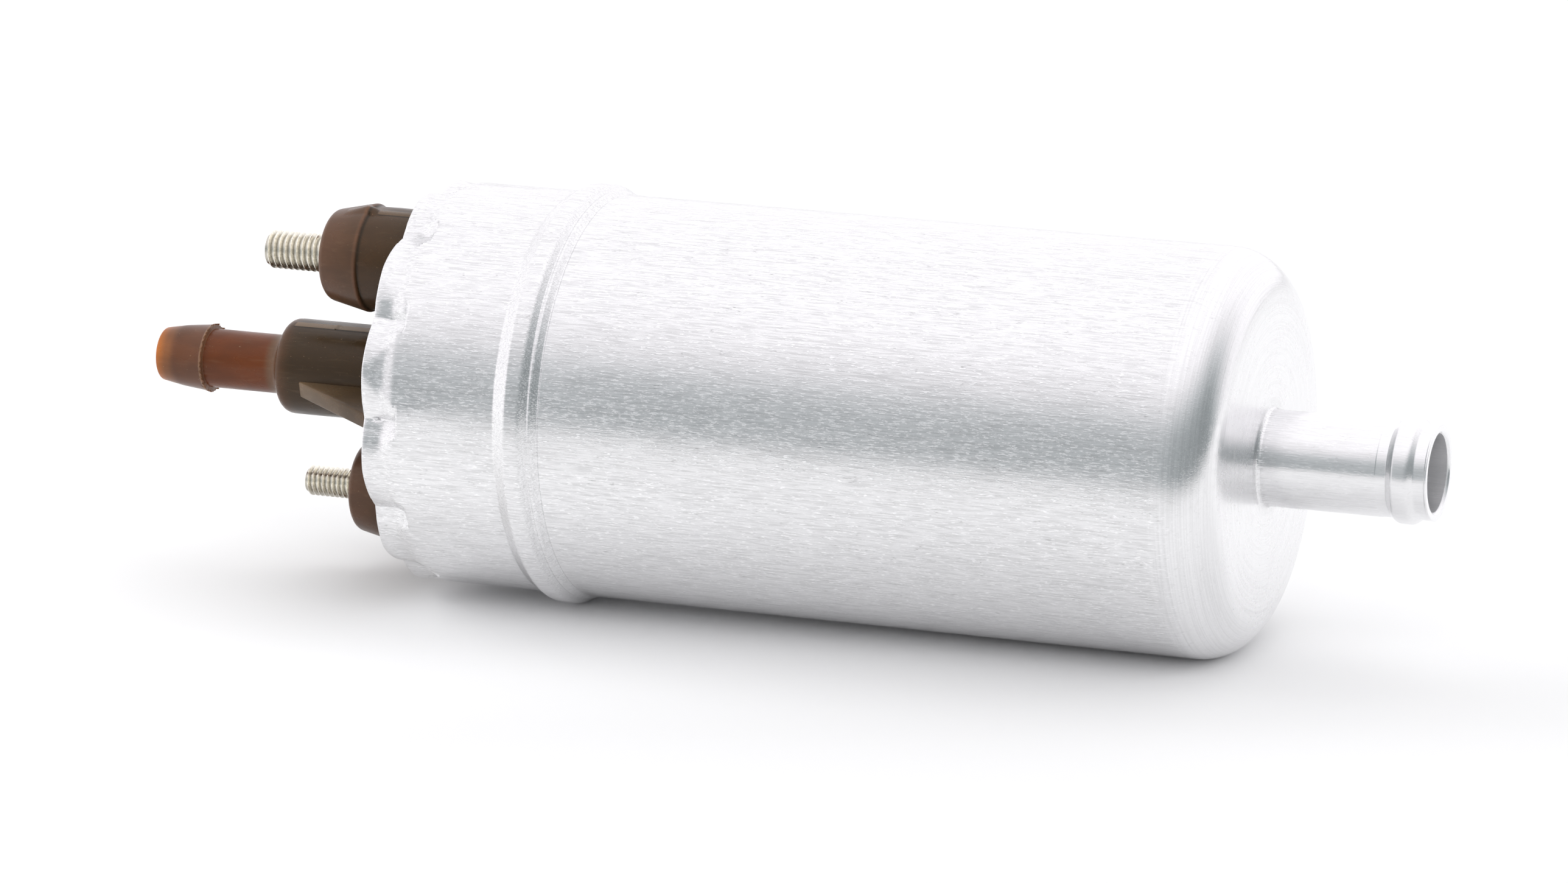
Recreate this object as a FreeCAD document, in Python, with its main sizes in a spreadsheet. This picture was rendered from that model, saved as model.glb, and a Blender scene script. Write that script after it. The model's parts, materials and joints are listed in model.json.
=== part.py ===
import FreeCAD, Part
import math
import os
import re
import Sketcher

# In-line electric fuel pump. Millimetres, +Z up.
# The pump axis is X: the outlet nipple points to -X and the inlet spigot to +X.
# The origin lies on the axis, in the middle of the seat for the clamp band.
# Stations along the axis are measured from the staked rim of the can.

Vector = FreeCAD.Vector

SIZES = {
    # where the pump lies
    "clamp_station": 64.7,
    "roll_angle": 14,
    # can
    "can_radius": 26,
    "can_wall": 1.2,
    "rim_flat": 0.05,
    "lip_overlap": 0.65,
    "bead_station": 21.25,
    "bead_half_width": 2.6,
    "bead_height": 1.15,
    "shoulder_radius": 6.6,
    "chamber_depth": 9.5,
    "stake_count": 12,
    "stake_length": 4.9,
    "stake_depth": 0.65,
    "stake_half_width": 2.3,
    "spigot_radius": 6.1,
    "spigot_wall": 1.15,
    "spigot_length": 22.6,
    "spigot_root_rounding": 0.8,
    "spigot_bead_from_end": 4.4,
    "spigot_bead_half_width": 2.1,
    "spigot_bead_height": 0.55,
    # clearances
    "slip_gap": 0.05,
    "press_gap": 0.02,
    "running_gap": 0.03,
    "thrust_gap": 0.1,
    "cut_overrun": 1,
    # cover
    "cover_depth": 19.3,
    "front_wall": 6.3,
    "skirt_wall": 3.75,
    "nipple_reach": 39.3,
    "nipple_radius": 3.87,
    "nipple_bore_radius": 2.5,
    "nipple_tip_taper": 0.42,
    "nipple_tip_rounding": 0.5,
    "barb_length": 6.3,
    "barb_height": 0.53,
    "dome_reach": 21.4,
    "dome_rounding": 1.6,
    "dome_root_rounding": 0.7,
    "dome_face": 0.08,
    "flat_depth": 0.2,
    "web_start": 4.1,
    "web_foot_gap": 5.75,
    "web_thickness": 2.2,
    "seal_station": 12.3,
    "seal_section_radius": 0.95,
    "seal_side_gap": 0.35,
    # terminals
    "terminal_edge": 0.45,
    "boss_reach": 12.8,
    "boss_taper": 1.2,
    "boss_face_rounding": 0.9,
    "boss_rim_step": 0.45,
    "boss_collar_length": 4.7,
    "boss_neck_radius": 6.7,
    "large_stud_radius": 2.5,
    "large_stud_reach": 9.1,
    "small_stud_radius": 2,
    "small_stud_reach": 7.9,
    "stud_chamfer": 0.5,
    "stud_shank_extra": 0.4,
    "stud_head_radius": 3.3,
    "stud_head_thickness": 1.5,
    # outlet check valve
    "valve_bore_radius": 4.4,
    "valve_bore_length": 17.7,
    "collector_ledge": 1,
    "collector_wall": 2.5,
    "collector_depth": 1.5,
    "valve_seat_length": 2.8,
    "valve_orifice_radius": 2.2,
    "poppet_side_gap": 0.5,
    "poppet_thickness": 1.2,
    "poppet_nose_length": 1,
    "poppet_nose_gap": 0.2,
    "poppet_nose_taper": 0.9,
    "poppet_tail_length": 3.5,
    "poppet_tail_radius": 2.1,
    "valve_spring_gap": 0.8,
    "valve_spring_wire": 0.8,
    # brush gear
    "strap_thickness": 0.8,
    "strap_width": 5,
    "brush_width": 5.8,
    "brush_length": 7,
    "brush_side_gap": 0.1,
    "brush_seat_gap": 0.05,
    "brush_spring_wire": 0.8,
    "holder_wall": 0.5,
    "holder_foot_gap": 1.3,
    # bearings
    "carrier_radius": 8,
    "carrier_thickness": 3.6,
    "carrier_hole_radius": 1,
    "carrier_hole_count": 4,
    "bush_radius": 4.5,
    "bush_overhang": 0.6,
    "washer_radius": 5.6,
    "washer_thickness": 0.6,
    # armature
    "shaft_radius": 3,
    "shaft_flat_depth": 0.5,
    "shaft_tail": 4,
    "collar_radius": 4.2,
    "collar_length": 2,
    "commutator_radius": 9,
    "commutator_length": 8,
    "riser_height": 1,
    "riser_length": 1.8,
    "segment_slit": 0.5,
    "segment_slit_depth": 1.5,
    "core_margin": 10.5,
    "slot_count": 8,
    "slot_mouth": 1.6,
    "slot_floor_radius": 8.5,
    "tooth_tip": 1.8,
    "armature_tooth_width": 3.7,
    "insulator_thickness": 1,
    "wire_gap": 0.2,
    "end_turn_length": 6,
    "end_turn_shaft_gap": 2.5,
    "end_turn_margin": 1.4,
    # magnets
    "sleeve_length": 60,
    "sleeve_wall": 2.45,
    "magnet_margin": 6.5,
    "magnet_angle": 130,
    "magnet_thickness": 5.05,
    "air_gap": 0.6,
    "clip_side_angle": 5,
    "clip_thickness": 0.8,
    # pumping stage
    "plate_thickness": 7,
    "ring_width": 8,
    "inlet_thickness": 6,
    "rotor_side_gap": 0.03,
    "rotor_eccentricity": 1.2,
    "rotor_teeth": 7,
    "rotor_back_wall": 2.3,
    "tooth_side_gap": 2.1,
    "lobe_gap": 0.03,
    "rotor_points_per_lobe": 24,
    "ring_wall": 1.7,
    "port_inner_gap": 4.8,
    "port_outer_gap": 2.4,
    "port_angle": 110,
    "shaft_pocket_gap": 0.5,
    "spacer_wall": 1.7,
    # stage screws
    "screw_count": 3,
    "screw_head_gap": 0.55,
    "screw_radius": 1.5,
    "screw_head_radius": 2.75,
    "screw_head_height": 3,
    "screw_socket_radius": 1.4,
    "screw_socket_depth": 1.6,
    "screw_end_wall": 1,
    "screw_end_gap": 0.5,
    # relief valve
    "relief_boss_gap": 0.75,
    "relief_channel_radius": 1.2,
    "relief_wall": 1.5,
    "relief_ball_radius": 2,
    "relief_spring_bite": 0.8,
    "relief_bore_radius": 2.6,
    "relief_boss_radius": 3.7,
    "relief_boss_length": 4.7,
    "relief_spring_gap": 0.15,
    "relief_spring_wire": 0.65,
    "relief_plug_length": 2,
    "relief_plug_hole": 0.9,
    # strainer
    "strainer_radius": 6.6,
    "strainer_wall": 0.6,
    "strainer_length": 7,
    "strainer_flange_radius": 9,
}

doc = FreeCAD.newDocument("fuel_pump")
sheet = doc.addObject("Spreadsheet::Sheet", "sizes")
for row, (size_name, size_value) in enumerate(SIZES.items(), start=1):
    sheet.set("A%d" % row, size_name)
    sheet.set("B%d" % row, str(size_value))
    sheet.setAlias("B%d" % row, size_name)
doc.recompute()

# Stations and radii that follow from the sizes. Each is an expression in the sizes' names.
X_COVER = "can_wall"
X_FRONT = "(can_wall + front_wall)"
X_SLEEVE = "(can_wall + cover_depth)"
X_PLATE = "(can_wall + cover_depth + sleeve_length)"
X_RING = "(can_wall + cover_depth + sleeve_length + plate_thickness)"
X_INLET = "(can_wall + cover_depth + sleeve_length + plate_thickness + ring_width)"
X_CHAMBER = "(" + X_INLET + " + inlet_thickness)"
X_END = "(" + X_CHAMBER + " + chamber_depth)"
X_FACE = "(" + X_END + " + can_wall)"
X_MOUTH = "(" + X_FACE + " + spigot_length)"
X_SHOULDER = "(" + X_FACE + " - shoulder_radius)"

CAN_BORE = "(can_radius - can_wall)"
FIT_RADIUS = "(can_radius - can_wall - slip_gap)"
SLEEVE_BORE = "(can_radius - can_wall - slip_gap - sleeve_wall)"
MAGNET_OUTER = "(" + SLEEVE_BORE + " - slip_gap)"
MAGNET_INNER = "(" + MAGNET_OUTER + " - magnet_thickness)"
CORE_RADIUS = "(" + MAGNET_INNER + " - air_gap)"
SLOT_ROOF = "(" + CORE_RADIUS + " - tooth_tip)"
CLIP_ANGLE = "(180 - magnet_angle - 2 * clip_side_angle)"
LIP_RADIUS = "(can_radius - can_wall - lip_overlap)"
RIM_ROUNDING = "(can_wall + lip_overlap - rim_flat)"
SPIGOT_BORE = "(spigot_radius - spigot_wall)"
DOME_RADIUS = "(nipple_radius + dome_root_rounding + dome_face + dome_rounding)"
TERMINAL_OFFSET = "(" + LIP_RADIUS + " - terminal_edge - boss_neck_radius)"
BOSS_RIM = "(boss_neck_radius + boss_rim_step)"
POPPET_NOSE = "(valve_orifice_radius - poppet_nose_gap)"
VALVE_SPRING = "(valve_bore_radius - valve_spring_gap)"
RELIEF_SPRING = "(relief_bore_radius - relief_spring_gap)"
RELIEF_OFFSET = "(" + FIT_RADIUS + " - spacer_wall - relief_boss_gap - relief_boss_radius)"
SCREW_OFFSET = "(" + SLEEVE_BORE + " - screw_head_gap - screw_head_radius)"
SCREW_HOLE = "(screw_radius + slip_gap)"
ROTOR_BORE = "(" + SCREW_OFFSET + " - " + SCREW_HOLE + " - ring_wall - rotor_eccentricity)"
TOOTH_CIRCLE = "(" + ROTOR_BORE + " - slip_gap - rotor_back_wall)"
TOOTH_RADIUS = "(" + TOOTH_CIRCLE + " / 2 - tooth_side_gap)"
PORT_INNER = "(" + TOOTH_CIRCLE + " - port_inner_gap)"
PORT_OUTER = "(" + TOOTH_CIRCLE + " - port_outer_gap)"
SEAL_HALF = "(seal_section_radius + seal_side_gap)"
SEAL_FLOOR = "(can_radius - can_wall - slip_gap - 2 * seal_section_radius)"

X_COLLECTOR = "(can_wall + collector_wall)"
X_CARRIER = "(" + X_COLLECTOR + " + collector_depth)"
X_VALVE_FLOOR = "(" + X_COLLECTOR + " - valve_bore_length)"
X_VALVE_SEAT = "(" + X_COLLECTOR + " - valve_seat_length)"
X_STRAP = "(" + X_FRONT + " + stud_head_thickness)"
X_HOLDER = "(" + X_STRAP + " + strap_thickness)"
HOLDER_SIDE = "(brush_width + 2 * brush_side_gap + 2 * holder_wall)"
HOLDER_FOOT = "(commutator_radius + holder_foot_gap)"
HOLDER_TOP = "sqrt((" + FIT_RADIUS + " - skirt_wall - slip_gap) ^ 2 - (" + HOLDER_SIDE + " / 2) ^ 2)"
X_CARRIER_END = "(" + X_CARRIER + " + carrier_thickness)"
X_WASHER = "(" + X_CARRIER_END + " + thrust_gap)"
X_COMMUTATOR = "(" + X_WASHER + " + washer_thickness + thrust_gap)"
X_CORE = "(" + X_SLEEVE + " + core_margin)"
CORE_LENGTH = "(sleeve_length - 2 * core_margin)"
MAGNET_LENGTH = "(sleeve_length - 2 * magnet_margin)"
X_MAGNET = "(" + X_SLEEVE + " + magnet_margin)"
X_PUMP_WASHER = "(" + X_PLATE + " - thrust_gap - washer_thickness)"
X_COLLAR = "(" + X_PUMP_WASHER + " - thrust_gap - collar_length)"
X_STAGE_SEAL = "(" + X_INLET + " + inlet_thickness / 2)"
X_RELIEF_SEAT = "(" + X_INLET + " + relief_wall)"
RELIEF_LIFT = "sqrt(relief_ball_radius ^ 2 - relief_channel_radius ^ 2)"
X_BALL = "(" + X_RELIEF_SEAT + " + " + RELIEF_LIFT + " + running_gap)"
X_RELIEF_END = "(" + X_CHAMBER + " + relief_boss_length)"

# A right-angled corner rounded to one radius passes this share of it from each side at its middle.
CORNER_SHARE = 1 - math.sqrt(0.5)
SIZE_WORD = re.compile(r"[a-z][a-z_]+")


def bound(text):
    """The expression with each size's name pointing at its cell."""
    def cell(match):
        word = match.group()
        return "sizes." + word if word in SIZES else word
    return SIZE_WORD.sub(cell, text)


def number(text):
    """The expression's value now."""
    return float(sheet.evalExpression(bound(text)))


def drive(thing, prop, text):
    """Bind one property of a document object to an expression in the sizes."""
    thing.setExpression(prop, bound(text))


def corner(station, radius, rounding, before, after):
    """A rounded corner of a profile; before and after point from it along the two runs."""
    share = CORNER_SHARE
    start = ("%s + %d * %s" % (station, before[0], rounding), "%s + %d * %s" % (radius, before[1], rounding))
    end = ("%s + %d * %s" % (station, after[0], rounding), "%s + %d * %s" % (radius, after[1], rounding))
    middle = ("arc",
              "%s + %d * %.6f * %s" % (station, before[0] + after[0], share, rounding),
              "%s + %d * %.6f * %s" % (radius, before[1] + after[1], share, rounding))
    return [start, middle, end]


def plane_of(body, role):
    return [feature for feature in body.Origin.OriginFeatures if feature.Role == role][0]


def new_sketch(body, name, role, along="0", across="0", above="0"):
    """A sketch on one of the body's own planes, shifted within it and above it."""
    sketch = body.newObject("Sketcher::SketchObject", name)
    sketch.AttachmentSupport = [(plane_of(body, role), "")]
    sketch.MapMode = "FlatFace"
    drive(sketch, "AttachmentOffset.Base.x", along)
    drive(sketch, "AttachmentOffset.Base.y", across)
    drive(sketch, "AttachmentOffset.Base.z", above)
    return sketch


def fix_point(sketch, geometry, vertex, place):
    """Tie one vertex of a sketch to its two coordinates."""
    for kind, text in (("DistanceX", place[0]), ("DistanceY", place[1])):
        index = sketch.addConstraint(Sketcher.Constraint(kind, -1, 1, geometry, vertex, number(text)))
        drive(sketch, "Constraints[%d]" % index, text)


def nearer_end(sketch, geometry, point):
    gaps = [(sketch.getPoint(geometry, vertex) - point).Length for vertex in (1, 2)]
    return 1 if gaps[0] < gaps[1] else 2


def draw_outline(sketch, outline):
    """A closed outline of lines, with an arc wherever a middle point stands between two corners."""
    corners = []
    middles = {}
    for entry in outline:
        if entry[0] == "arc":
            middles[len(corners) - 1] = entry[1:]
        else:
            corners.append(entry)
    points = [Vector(number(a), number(b), 0) for a, b in corners]
    count = len(points)
    for index in range(count):
        start = points[index]
        end = points[(index + 1) % count]
        if index in middles:
            a, b = middles[index]
            sketch.addGeometry(Part.Arc(start, Vector(number(a), number(b), 0), end), False)
        else:
            sketch.addGeometry(Part.LineSegment(start, end), False)
    for index in range(count):
        following = (index + 1) % count
        shared = points[following]
        first = nearer_end(sketch, index, shared)
        second = nearer_end(sketch, following, shared)
        sketch.addConstraint(Sketcher.Constraint("Coincident", index, first, following, second))
        fix_point(sketch, following, second, corners[following])
    for index, middle in middles.items():
        point = sketch.addGeometry(Part.Point(Vector(number(middle[0]), number(middle[1]), 0)), True)
        fix_point(sketch, point, 1, middle)
        sketch.addConstraint(Sketcher.Constraint("PointOnObject", point, 1, index))


def draw_circle(sketch, radius, centre=("0", "0")):
    place = Vector(number(centre[0]), number(centre[1]), 0)
    index = sketch.addGeometry(Part.Circle(place, Vector(0, 0, 1), number(radius)), False)
    rule = sketch.addConstraint(Sketcher.Constraint("Radius", index, number(radius)))
    drive(sketch, "Constraints[%d]" % rule, radius)
    fix_point(sketch, index, 3, centre)


def turn(body, name, outline, kind="PartDesign::Revolution", across="0", above="0", angle="360"):
    """Turn an outline of stations and radii about the line along X through its sketch's origin."""
    sketch = new_sketch(body, name + "_profile", "XY_Plane", across=across, above=above)
    draw_outline(sketch, outline)
    feature = body.newObject(kind, name)
    feature.Profile = sketch
    feature.ReferenceAxis = (sketch, ["H_Axis"])
    feature.Midplane = True
    drive(feature, "Angle", angle)
    return feature


def square_on(start, end, inner, outer):
    """A rectangular outline between two values of its first coordinate and two of its second."""
    return [(start, inner), (end, inner), (end, outer), (start, outer)]


def extrude(body, name, kind, station, length, circle=None, outline=None, centre=("0", "0")):
    """Pad or pocket along +X from a station, of a circle or an outline drawn in Y and Z."""
    sketch = new_sketch(body, name + "_profile", "YZ_Plane", above=station)
    if circle:
        draw_circle(sketch, circle, centre)
    else:
        draw_outline(sketch, outline)
    feature = body.newObject(kind, name)
    feature.Profile = sketch
    feature.Reversed = kind == "PartDesign::Pocket"
    drive(feature, "Length", length)
    return feature


def repeat(body, feature, count):
    """Repeat a feature evenly around X."""
    pattern = body.newObject("PartDesign::PolarPattern", feature.Name + "_pattern")
    pattern.Originals = [feature]
    pattern.Axis = (plane_of(body, "X_Axis"), [""])
    pattern.Angle = 360
    drive(pattern, "Occurrences", count)
    body.Tip = pattern
    return pattern


def new_body(name):
    body = doc.addObject("PartDesign::Body", name)
    body.Label = name
    return body


nodes = []


def seat(piece, across="0", above="0", extra_turn="0"):
    """Put a finished piece in the part's frame: rolled about the axis, with stations from the clamp seat."""
    piece.Placement = FreeCAD.Placement(Vector(0, 0, 0), FreeCAD.Rotation(Vector(1, 0, 0), 1))
    drive(piece, "Placement.Rotation.Angle", "roll_angle + " + extra_turn)
    drive(piece, "Placement.Base.x", "-clamp_station")
    drive(piece, "Placement.Base.y", "cos(roll_angle) * (%s) - sin(roll_angle) * (%s)" % (across, above))
    drive(piece, "Placement.Base.z", "sin(roll_angle) * (%s) + cos(roll_angle) * (%s)" % (across, above))
    nodes.append(piece)


def turned_piece(name, outline, across="0", above="0", extra_turn="0", angle="360"):
    body = new_body(name)
    turn(body, name + "_turned", outline, angle=angle)
    seat(body, across, above, extra_turn)
    return body


def primitive(kind, name, place, **lengths):
    """A Part primitive whose axis, if it has one, lies along X; place is its X, Y and Z."""
    item = doc.addObject(kind, name)
    for prop, text in lengths.items():
        drive(item, prop, text)
    if kind != "Part::Box":
        item.Placement = FreeCAD.Placement(Vector(0, 0, 0), FreeCAD.Rotation(Vector(0, 1, 0), 90))
    for letter, text in zip("xyz", place):
        drive(item, "Placement.Base." + letter, text)
    return item


def minus(name, base, tool):
    result = doc.addObject("Part::Cut", name)
    result.Base = base
    result.Tool = tool
    return result


def plus(name, items):
    result = doc.addObject("Part::MultiFuse", name)
    result.Shapes = items
    return result


def group(name, items):
    """Separate solids, or a single one, that are placed as one piece."""
    result = doc.addObject("Part::Compound", name)
    result.Links = items
    return result


def finish(name, item, extra_turn="0"):
    """Give the last object of a chain its node's name and place."""
    item.Label = name
    seat(item, extra_turn=extra_turn)


def make_housing():
    """Drawn can: turned-in lip, bead, straight clamp seat, shoulder, flat end and suction spigot."""
    body = new_body("housing")
    bead_start = "bead_station - bead_half_width"
    bead_end = "bead_station + bead_half_width"
    hose_bead = X_MOUTH + " - spigot_bead_from_end"
    inner_shoulder = "(shoulder_radius - can_wall)"
    outline = [("0", LIP_RADIUS)]
    outline += corner("0", "can_radius", RIM_ROUNDING, (0, -1), (1, 0))
    outline += [
        (bead_start, "can_radius"),
        ("arc", "bead_station", "can_radius + bead_height"),
        (bead_end, "can_radius"),
    ]
    outline += corner(X_FACE, "can_radius", "shoulder_radius", (-1, 0), (0, -1))
    outline += corner(X_FACE, "spigot_radius", "spigot_root_rounding", (0, 1), (1, 0))
    outline += [
        (hose_bead + " - spigot_bead_half_width", "spigot_radius"),
        ("arc", hose_bead, "spigot_radius + spigot_bead_height"),
        (hose_bead + " + spigot_bead_half_width", "spigot_radius"),
        (X_MOUTH, "spigot_radius"),
        (X_MOUTH, SPIGOT_BORE),
        (X_END, SPIGOT_BORE),
    ]
    outline += corner(X_END, CAN_BORE, inner_shoulder, (0, -1), (-1, 0))
    outline += [
        (bead_end, CAN_BORE),
        ("arc", "bead_station", CAN_BORE + " + bead_height"),
        (bead_start, CAN_BORE),
        (X_COVER, CAN_BORE),
        (X_COVER, LIP_RADIUS),
    ]
    turn(body, "can", outline)
    # Each stake is a V pressed into the rim, with a sheared step at its inner end.
    notch = [
        ("-stake_half_width", "can_radius + stake_depth"),
        ("0", "can_radius - stake_depth"),
        ("stake_half_width", "can_radius + stake_depth"),
    ]
    stake = extrude(body, "stake", "PartDesign::Pocket", "0", "stake_length", outline=notch)
    repeat(body, stake, "stake_count")
    # Halfway between two stakes lies the line through the terminals.
    seat(body, extra_turn="180 / stake_count")
    return body


def make_cover():
    """Moulded cover: hose nipple, dome, two webs, two terminal bosses, flange and skirt."""
    body = new_body("end_cover")
    barb = "-nipple_reach + barb_length"
    outline = [("-nipple_reach", "nipple_bore_radius")]
    outline += corner("-nipple_reach", "nipple_radius - nipple_tip_taper", "nipple_tip_rounding",
                      (0, -1), (1, 0))
    outline += [(barb, "nipple_radius + barb_height"), (barb, "nipple_radius")]
    outline += corner("-dome_reach", "nipple_radius", "dome_root_rounding", (-1, 0), (0, 1))
    outline += corner("-dome_reach", DOME_RADIUS, "dome_rounding", (0, -1), (1, 0))
    outline += [
        (X_COVER, DOME_RADIUS),
        (X_COVER, FIT_RADIUS),
        ("seal_station - " + SEAL_HALF, FIT_RADIUS),
        ("seal_station - " + SEAL_HALF, SEAL_FLOOR),
        ("seal_station + " + SEAL_HALF, SEAL_FLOOR),
        ("seal_station + " + SEAL_HALF, FIT_RADIUS),
        (X_SLEEVE, FIT_RADIUS),
        (X_SLEEVE, FIT_RADIUS + " - skirt_wall"),
        (X_FRONT, FIT_RADIUS + " - skirt_wall"),
        (X_FRONT, "carrier_radius + press_gap"),
        (X_CARRIER, "carrier_radius + press_gap"),
        (X_CARRIER, "carrier_radius - collector_ledge"),
        (X_COLLECTOR, "carrier_radius - collector_ledge"),
        (X_COLLECTOR, "valve_bore_radius"),
        (X_VALVE_FLOOR, "valve_bore_radius"),
        (X_VALVE_FLOOR, "nipple_bore_radius"),
    ]
    turn(body, "cover_turned", outline)
    # Each boss has a collar that widens to a rim, and a straight neck behind it.
    collar_end = "-boss_reach + boss_collar_length"
    boss = [("-boss_reach", "0")]
    boss += corner("-boss_reach", BOSS_RIM + " - boss_taper", "boss_face_rounding", (0, -1), (1, 0))
    boss += [
        (collar_end, BOSS_RIM),
        (collar_end, "boss_neck_radius"),
        (X_COVER + " + front_wall / 2", "boss_neck_radius"),
        (X_COVER + " + front_wall / 2", "0"),
    ]
    for label, above in (("upper", TERMINAL_OFFSET), ("lower", "-" + TERMINAL_OFFSET)):
        turn(body, "boss_" + label, boss, above=above)
    # Two thin webs brace the dome against the flange, square to the line through the terminals.
    web_start = "-dome_reach + web_start"
    web_end = X_COVER + " + front_wall / 2"
    web_root = "(valve_bore_radius + " + DOME_RADIUS + ") / 2"
    for label, side in (("front", "-"), ("back", "")):
        web = [
            (web_start, side + DOME_RADIUS),
            (web_end, side + "(" + LIP_RADIUS + " - web_foot_gap)"),
            (web_end, side + web_root),
            (web_start, side + web_root),
        ]
        sketch = new_sketch(body, "web_%s_profile" % label, "XY_Plane")
        draw_outline(sketch, web)
        pad = body.newObject("PartDesign::Pad", "web_" + label)
        pad.Profile = sketch
        pad.Midplane = True
        drive(pad, "Length", "web_thickness")
    # The mould's parting line leaves a narrow flat along the dome and along both necks.
    flats = (
        ("dome", "-dome_reach + dome_rounding", X_COVER, DOME_RADIUS + " - flat_depth", False),
        ("upper", collar_end, X_COVER, TERMINAL_OFFSET + " + boss_neck_radius - flat_depth", False),
        ("lower", collar_end, X_COVER, "-" + TERMINAL_OFFSET + " - boss_neck_radius + flat_depth", True),
    )
    for label, start, end, above, downwards in flats:
        sketch = new_sketch(body, "flat_%s_profile" % label, "XY_Plane", above=above)
        draw_outline(sketch, square_on(start, end, "-" + BOSS_RIM + " / 2", BOSS_RIM + " / 2"))
        flat = body.newObject("PartDesign::Pocket", "flat_" + label)
        flat.Profile = sketch
        flat.Reversed = not downwards
        drive(flat, "Length", "2 * flat_depth")
    for label, above, radius in (("upper", TERMINAL_OFFSET, "large_stud_radius"),
                                 ("lower", "-" + TERMINAL_OFFSET, "small_stud_radius")):
        bore = square_on("-boss_reach - cut_overrun", X_FRONT + " + cut_overrun", "0",
                         radius + " + stud_shank_extra + press_gap")
        turn(body, "stud_hole_" + label, bore, kind="PartDesign::Groove", above=above)
    seat(body)
    return body


def make_stud(name, above, radius, reach):
    """Threaded terminal at its nominal diameter, with a thicker shank and a head inside the cover."""
    tip = "-boss_reach - " + reach
    turned_piece(name, [
        (tip, "0"),
        (tip, radius + " - stud_chamfer"),
        (tip + " + stud_chamfer", radius),
        ("-boss_reach", radius),
        ("-boss_reach", radius + " + stud_shank_extra"),
        (X_FRONT, radius + " + stud_shank_extra"),
        (X_FRONT, "stud_head_radius"),
        (X_STRAP, "stud_head_radius"),
        (X_STRAP, "0"),
    ], above=above)


def make_ring_seal(name, station):
    ring = primitive("Part::Torus", name + "_torus", (station, "0", "0"),
                     Radius1=CAN_BORE + " - seal_section_radius - slip_gap / 2",
                     Radius2="seal_section_radius")
    finish(name, group(name, [ring]))


def make_check_valve():
    """Outlet valve: seat ring, poppet closed on it, and the spring behind the poppet."""
    turned_piece("check_valve_seat", square_on(X_VALVE_SEAT, X_COLLECTOR, "valve_orifice_radius",
                                               "valve_bore_radius - press_gap"))
    face = "(" + X_VALVE_SEAT + " - running_gap)"
    back = "(" + face + " - poppet_thickness)"
    tail = "(" + back + " - poppet_tail_length)"
    turned_piece("check_valve_poppet", [
        (tail, "0"),
        (tail, "poppet_tail_radius"),
        (back, "poppet_tail_radius"),
        (back, "valve_bore_radius - poppet_side_gap"),
        (face, "valve_bore_radius - poppet_side_gap"),
        (face, POPPET_NOSE),
        (face + " + poppet_nose_length", POPPET_NOSE + " - poppet_nose_taper"),
        (face + " + poppet_nose_length", "0"),
    ])
    turned_piece("check_valve_spring", square_on(X_VALVE_FLOOR + " + running_gap", back + " - running_gap",
                                                 VALVE_SPRING + " - valve_spring_wire", VALVE_SPRING))


def block(name, station, length, half_width, bottom, top):
    """A box between two stations, symmetrical across Y, between two heights."""
    return primitive("Part::Box", name, (station, "-(" + half_width + ")", bottom), Length=length,
                     Width="2 * (" + half_width + ")", Height="(" + top + ") - (" + bottom + ")")


def make_brush_gear(side, extra_turn):
    """Strap from the stud, brass holder, carbon brush and its spring, on one side of the commutator."""
    half_brush = "brush_width / 2"
    half_bore = "(brush_width / 2 + brush_side_gap)"
    foot = "(commutator_radius + brush_seat_gap)"
    cap = "(" + HOLDER_TOP + " - holder_wall)"
    middle = "(" + X_HOLDER + " + " + HOLDER_SIDE + " / 2)"
    strap = block("strap_" + side, X_STRAP, "strap_thickness", "strap_width / 2", HOLDER_FOOT,
                  TERMINAL_OFFSET + " + strap_width / 2")
    finish("contact_strap_" + side, group("contact_strap_" + side, [strap]), extra_turn)
    outer = block("holder_outer_" + side, X_HOLDER, HOLDER_SIDE, HOLDER_SIDE + " / 2",
                  HOLDER_FOOT, HOLDER_TOP)
    inner = block("holder_inner_" + side, middle + " - " + half_bore, "2 * " + half_bore, half_bore,
                  HOLDER_FOOT + " - cut_overrun", cap)
    finish("brush_holder_" + side, minus("brush_holder_" + side, outer, inner), extra_turn)
    # The brush's foot is hollowed to run on the commutator.
    carbon = block("carbon_" + side, middle + " - " + half_brush, "brush_width", half_brush,
                   "commutator_radius / 2", foot + " + brush_length")
    drum = primitive("Part::Cylinder", "drum_" + side, (X_HOLDER, "0", "0"),
                     Radius="commutator_radius + brush_seat_gap", Height=HOLDER_SIDE)
    finish("brush_" + side, minus("brush_" + side, carbon, drum), extra_turn)
    spring_foot = "(" + foot + " + brush_length + running_gap)"
    coil_radius = "(brush_width / 2 - brush_side_gap)"
    coils = []
    for label, radius in (("coil_", coil_radius), ("coil_core_", coil_radius + " - brush_spring_wire")):
        coil = doc.addObject("Part::Cylinder", label + side)
        drive(coil, "Radius", radius)
        drive(coil, "Height", cap + " - running_gap - " + spring_foot)
        drive(coil, "Placement.Base.x", middle)
        drive(coil, "Placement.Base.z", spring_foot)
        coils.append(coil)
    finish("brush_spring_" + side, minus("brush_spring_" + side, coils[0], coils[1]), extra_turn)


def make_bearing(name, start, end):
    turned_piece(name, square_on(start, end, "shaft_radius + running_gap", "bush_radius - press_gap"))


def make_carrier():
    """Disc in the cover that holds the outlet bush and lets fuel through."""
    body = new_body("bearing_carrier")
    turn(body, "carrier_disc", square_on(X_CARRIER, X_CARRIER_END, "bush_radius", "carrier_radius"))
    hole = extrude(body, "flow_hole", "PartDesign::Pocket", X_CARRIER, "carrier_thickness",
                   circle="carrier_hole_radius", centre=("0", "(bush_radius + carrier_radius) / 2"))
    repeat(body, hole, "carrier_hole_count")
    seat(body)


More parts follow.
